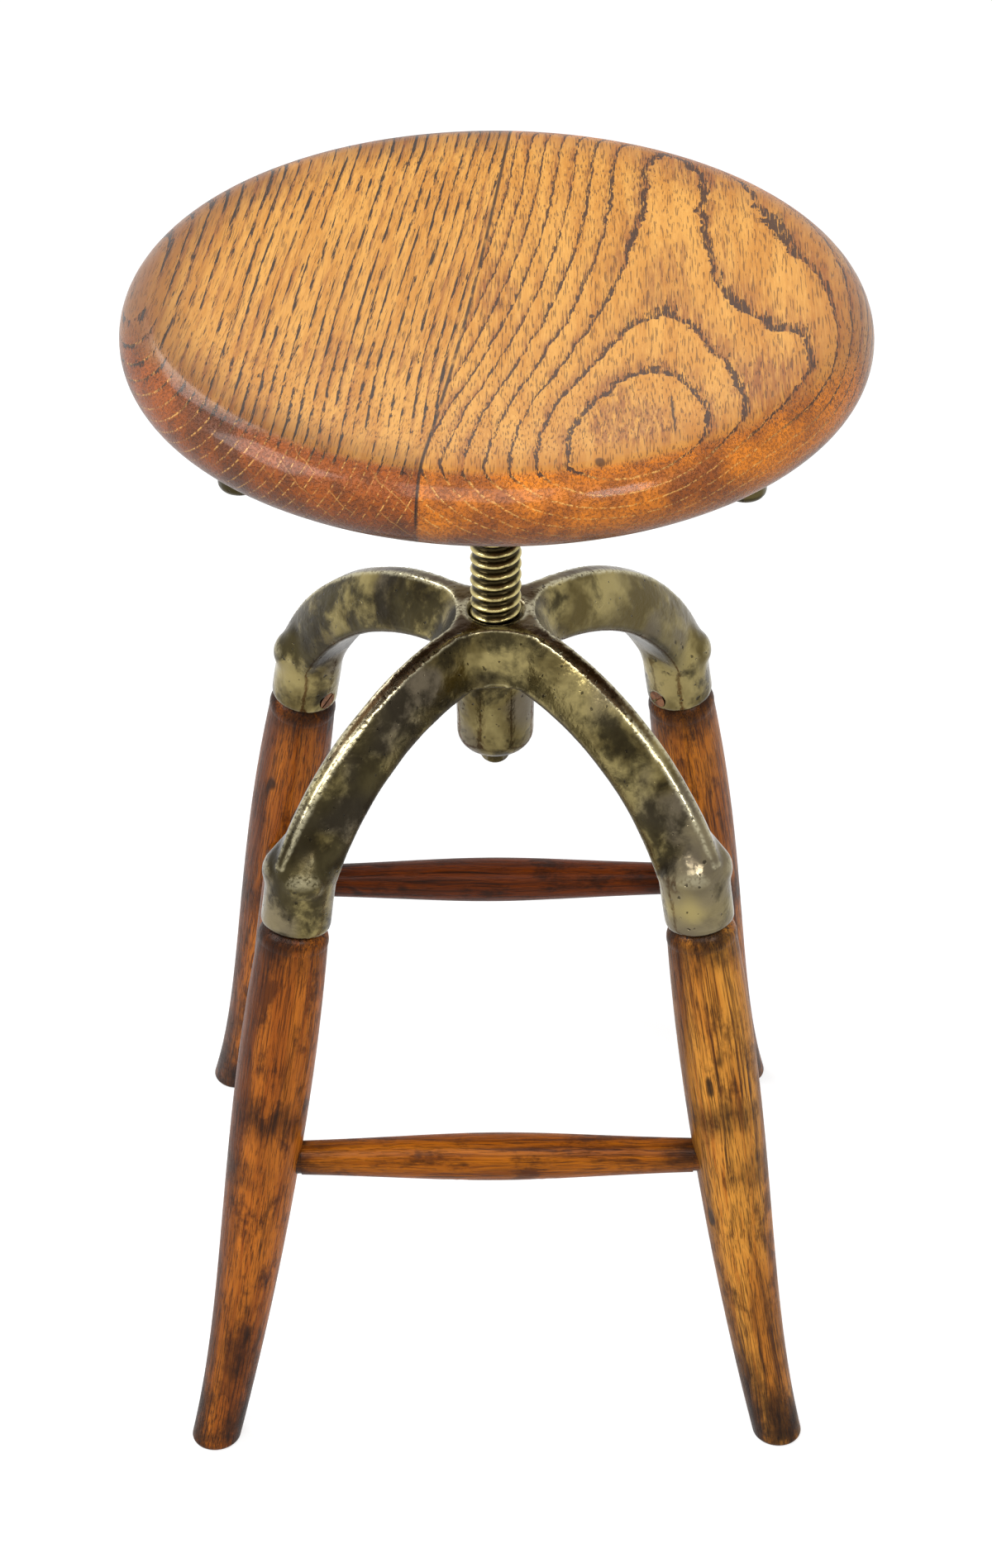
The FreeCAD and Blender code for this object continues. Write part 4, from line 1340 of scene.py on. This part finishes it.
@dataclass
class Legs:
    """The four splayed legs, each with its grain along its own axis."""

    foot: float = 0.1469
    top: float = 0.0997
    rim_height: float = 0.302
    half_length: float = 0.156
    # The second number darkens the top 3 cm of each leg: painted shade where it enters its socket.
    dark_ends: Pair = (0.12, 0.03)
    # How far the painted shadow about each stretcher joint reaches, and below it how dark it is.
    dirt: float = 0.022
    joint_shadow_strength: float = 0.7
    first_shift: float = 0.011
    next_shift: float = 0.9

    def dress(self) -> None:
        """Give each leg its own stained wood."""
        spread = (self.foot - self.top) * math.sqrt(2)
        lean = math.atan2(spread, self.rim_height)
        middle = (self.foot + self.top) / 2 * math.sqrt(2)
        tans = {
            Corner.FRONT_RIGHT: (tone(222, 150, 58), tone(182, 106, 30), 0.7),
            Corner.REAR_RIGHT: (tone(204, 122, 36), tone(160, 86, 20), 0.7),
        }
        plain = (tone(190, 108, 30), tone(142, 70, 14), 0.85)
        for number, corner in enumerate(Corner):
            angle = math.radians(corner.value)
            centre = (middle * math.cos(angle), middle * math.sin(angle), self.rim_height / 2)
            light, brown, mottled = tans.get(corner, plain)
            wood = StainedTurning(
                "stained_leg_" + corner.word, centre, (0.0, -lean, angle), self.half_length, self.dark_ends,
                shift=self.first_shift + self.next_shift * number, joints=self.joints(corner),
                mottled=mottled, light=light, brown=brown,
            )
            dress("leg_" + corner.word, wood.material())

    def joints(self, corner: Corner) -> tuple[Mark, ...]:
        """Return the painted shadows about the two stretchers that meet a leg.

        Args:
            corner: the leg's corner.

        Returns:
            One mark for each stretcher.
        """
        angle = math.radians(corner.value)
        ahead = (math.cos(angle) > 0, math.sin(angle) > 0)
        marks = []
        for side in Side:
            if side.word not in corner.word.split("_"):
                continue
            low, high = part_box("stretcher_" + side.word)
            spot = [float(value) for value in (low + high) / 2]
            axis = 1 if side in (Side.RIGHT, Side.LEFT) else 0
            spot[axis] = float(high[axis] if ahead[axis] else low[axis])
            marks.append(Mark(tuple(spot), (self.dirt, self.dirt, self.dirt), self.joint_shadow_strength))
        return tuple(marks)


@dataclass
class Stretchers:
    """The four stretchers and the brads through the side ones."""

    half_length: float = 0.105
    dark_ends: Pair = (0.034, 0.034)
    porous: float = 0.3
    first_shift: float = 3.1
    next_shift: float = 0.7

    def dress(self) -> None:
        """Give each stretcher its own stained wood, and the brads dark steel."""
        dark_rear = (tone(112, 49, 6), tone(76, 31, 4), tone(32, 13, 3))
        plain = (tone(172, 96, 14), tone(132, 66, 8), tone(60, 26, 5))
        for number, side in enumerate(Side):
            node = "stretcher_" + side.word
            low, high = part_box(node)
            turn = tuple(math.radians(angle) for angle in side.value)
            light, brown, dark = dark_rear if side is Side.REAR else plain
            wood = StainedTurning(
                "stained_" + node, tuple((low + high) / 2), turn, self.half_length, self.dark_ends,
                shift=self.first_shift + self.next_shift * number, porous=self.porous,
                light=light, brown=brown, dark=dark,
            )
            dress(node, wood.material())
        dress("stretcher_brads", AgedScrew("dark_brads", tone(70, 62, 54), tone(34, 27, 22), 0.7).material())


@dataclass(frozen=True)
class Lamp:
    """One soft square lamp: where it hangs, its side in metres and its watts."""

    name: str
    place: Triple
    size: float
    power: float

    def hang(self, target: Triple) -> None:
        """Hang the lamp so that it looks at a place.

        Args:
            target: the place.
        """
        data = bpy.data.lights.new(self.name, "AREA")
        data.shape = "SQUARE"
        data.size = self.size
        data.energy = self.power
        lamp = bpy.data.objects.new(self.name, data)
        lamp.location = self.place
        aim = Vector(target) - Vector(self.place)
        lamp.rotation_euler = aim.to_track_quat("-Z", "Y").to_euler()
        bpy.context.scene.collection.objects.link(lamp)


@dataclass
class Studio:
    """A pale floor, soft lamps and the camera at the photograph's place."""

    focal_pixels: float = 5091.66
    long_side: int = 1897
    short_side: int = 1200
    sensor: float = 36.0
    middle: Pair = (598.66, 954.77)
    stand_off: float = 1.73837
    height: float = 1.57142
    pitch: float = 35.9429
    yaw: float = 0.9434
    roll: float = 0.2272
    floor_half: float = 6.0
    floor_fade: Pair = (1.0, 3.0)
    floor_glow: float = 0.72
    floor_matt: Tone = (0.45, 0.45, 0.45, 1.0)
    floor_pale: Tone = (0.8, 0.8, 0.8, 1.0)
    even_light: float = 0.24
    aim: Triple = (0.0, 0.0, 0.42)
    lamps: tuple[Lamp, ...] = (
        Lamp("left_lamp", (-1.65, -0.4, 1.8), 1.1, 31.0),
        Lamp("rear_lamp", (-1.25, 1.2, 2.1), 0.9, 16.0),
        Lamp("right_lamp", (1.05, -1.35, 1.9), 0.6, 15.0),
        Lamp("top_lamp", (-0.2, -1.3, 2.3), 1.3, 23.5),
    )

    def build(self) -> None:
        """Set up the floor, light and camera."""
        self.floor()
        self.world()
        for lamp in self.lamps:
            lamp.hang(self.aim)
        self.camera()
        bpy.context.scene.view_settings.view_transform = "Standard"

    def chosen(self, sheet: NodeSheet, unseen: bpy.types.Node, seen: bpy.types.Node) -> Socket:
        """Choose one shader for the rays of the camera, mirrors and glass, and another for the rest.

        Args:
            sheet: the nodes.
            unseen: the shader for the other rays.
            seen: the shader for the rays that see.

        Returns:
            The shader that does both.
        """
        path = sheet.add("LightPath")
        share = path.outputs["Is Camera Ray"]
        for name in ("Is Glossy Ray", "Is Transmission Ray"):
            share = sheet.sums("MAXIMUM", share, path.outputs[name])
        choose = sheet.add("MixShader")
        sheet.feed(choose.inputs[0], share)
        sheet.feed(choose.inputs[1], unseen.outputs[0])
        sheet.feed(choose.inputs[2], seen.outputs[0])
        return choose.outputs[0]

    def floor(self) -> None:
        """Lay the floor, white to the camera but for the stool's shadow."""
        shape = bmesh.new()
        bmesh.ops.create_grid(shape, x_segments=1, y_segments=1, size=self.floor_half)
        mesh = bpy.data.meshes.new("floor")
        shape.to_mesh(mesh)
        shape.free()
        floor = bpy.data.objects.new("floor", mesh)
        bpy.context.scene.collection.objects.link(floor)
        sheet = NodeSheet(bpy.data.materials.new("pale_floor"))
        far = sheet.step(sheet.vectors("LENGTH", sheet.place()), *self.floor_fade)
        glow = sheet.add("Emission")
        sheet.feed(glow.inputs["Strength"], sheet.spread(far, self.floor_glow, 1.0))
        matt = sheet.add("BsdfDiffuse")
        sheet.feed(matt.inputs["Color"], sheet.mix(far, self.floor_matt, BLACK))
        both = sheet.add("AddShader")
        sheet.feed(both.inputs[0], glow.outputs[0])
        sheet.feed(both.inputs[1], matt.outputs[0])
        pale = sheet.add("BsdfDiffuse")
        pale.inputs["Color"].default_value = self.floor_pale
        sheet.feed(sheet.add("OutputMaterial").inputs["Surface"], self.chosen(sheet, pale, both))
        mesh.materials.append(sheet.owner)

    def world(self) -> None:
        """Fill the room with even light, white where the camera sees it."""
        sheet = NodeSheet(bpy.data.worlds.new("studio"))
        shaders = []
        for strength in (self.even_light, 1.0):
            light = sheet.add("Background")
            light.inputs["Color"].default_value = WHITE
            light.inputs["Strength"].default_value = strength
            shaders.append(light)
        sheet.feed(sheet.add("OutputWorld").inputs["Surface"], self.chosen(sheet, *shaders))
        bpy.context.scene.world = sheet.owner

    def camera(self) -> None:
        """Stand the camera where the photograph was taken from."""
        data = bpy.data.cameras.new("camera")
        data.sensor_fit = "AUTO"
        data.sensor_width = self.sensor
        data.lens = self.focal_pixels * self.sensor / self.long_side
        data.shift_x = (self.short_side / 2 - self.middle[0]) / self.long_side
        data.shift_y = (self.middle[1] - self.long_side / 2) / self.long_side
        camera = bpy.data.objects.new("camera", data)
        swing = Matrix.Rotation(-math.radians(self.yaw), 4, "Z")
        tip = Matrix.Rotation(math.radians(90.0 - self.pitch), 4, "X")
        lean = Matrix.Rotation(math.radians(self.roll), 4, "Z")
        camera.location = swing @ Vector((0.0, -self.stand_off, self.height))
        camera.rotation_euler = (swing @ tip @ lean).to_euler()
        bpy.context.scene.collection.objects.link(camera)
        bpy.context.scene.camera = camera


def main() -> None:
    """Build and dress the stool, then set up the studio."""
    logging.basicConfig(level=logging.INFO, format="%(message)s")
    for group in (Seat(), SeatMetal(), BaseSpider(), Legs(), Stretchers()):
        group.dress()
    Studio().build()


if __name__ == "__main__":
    main()
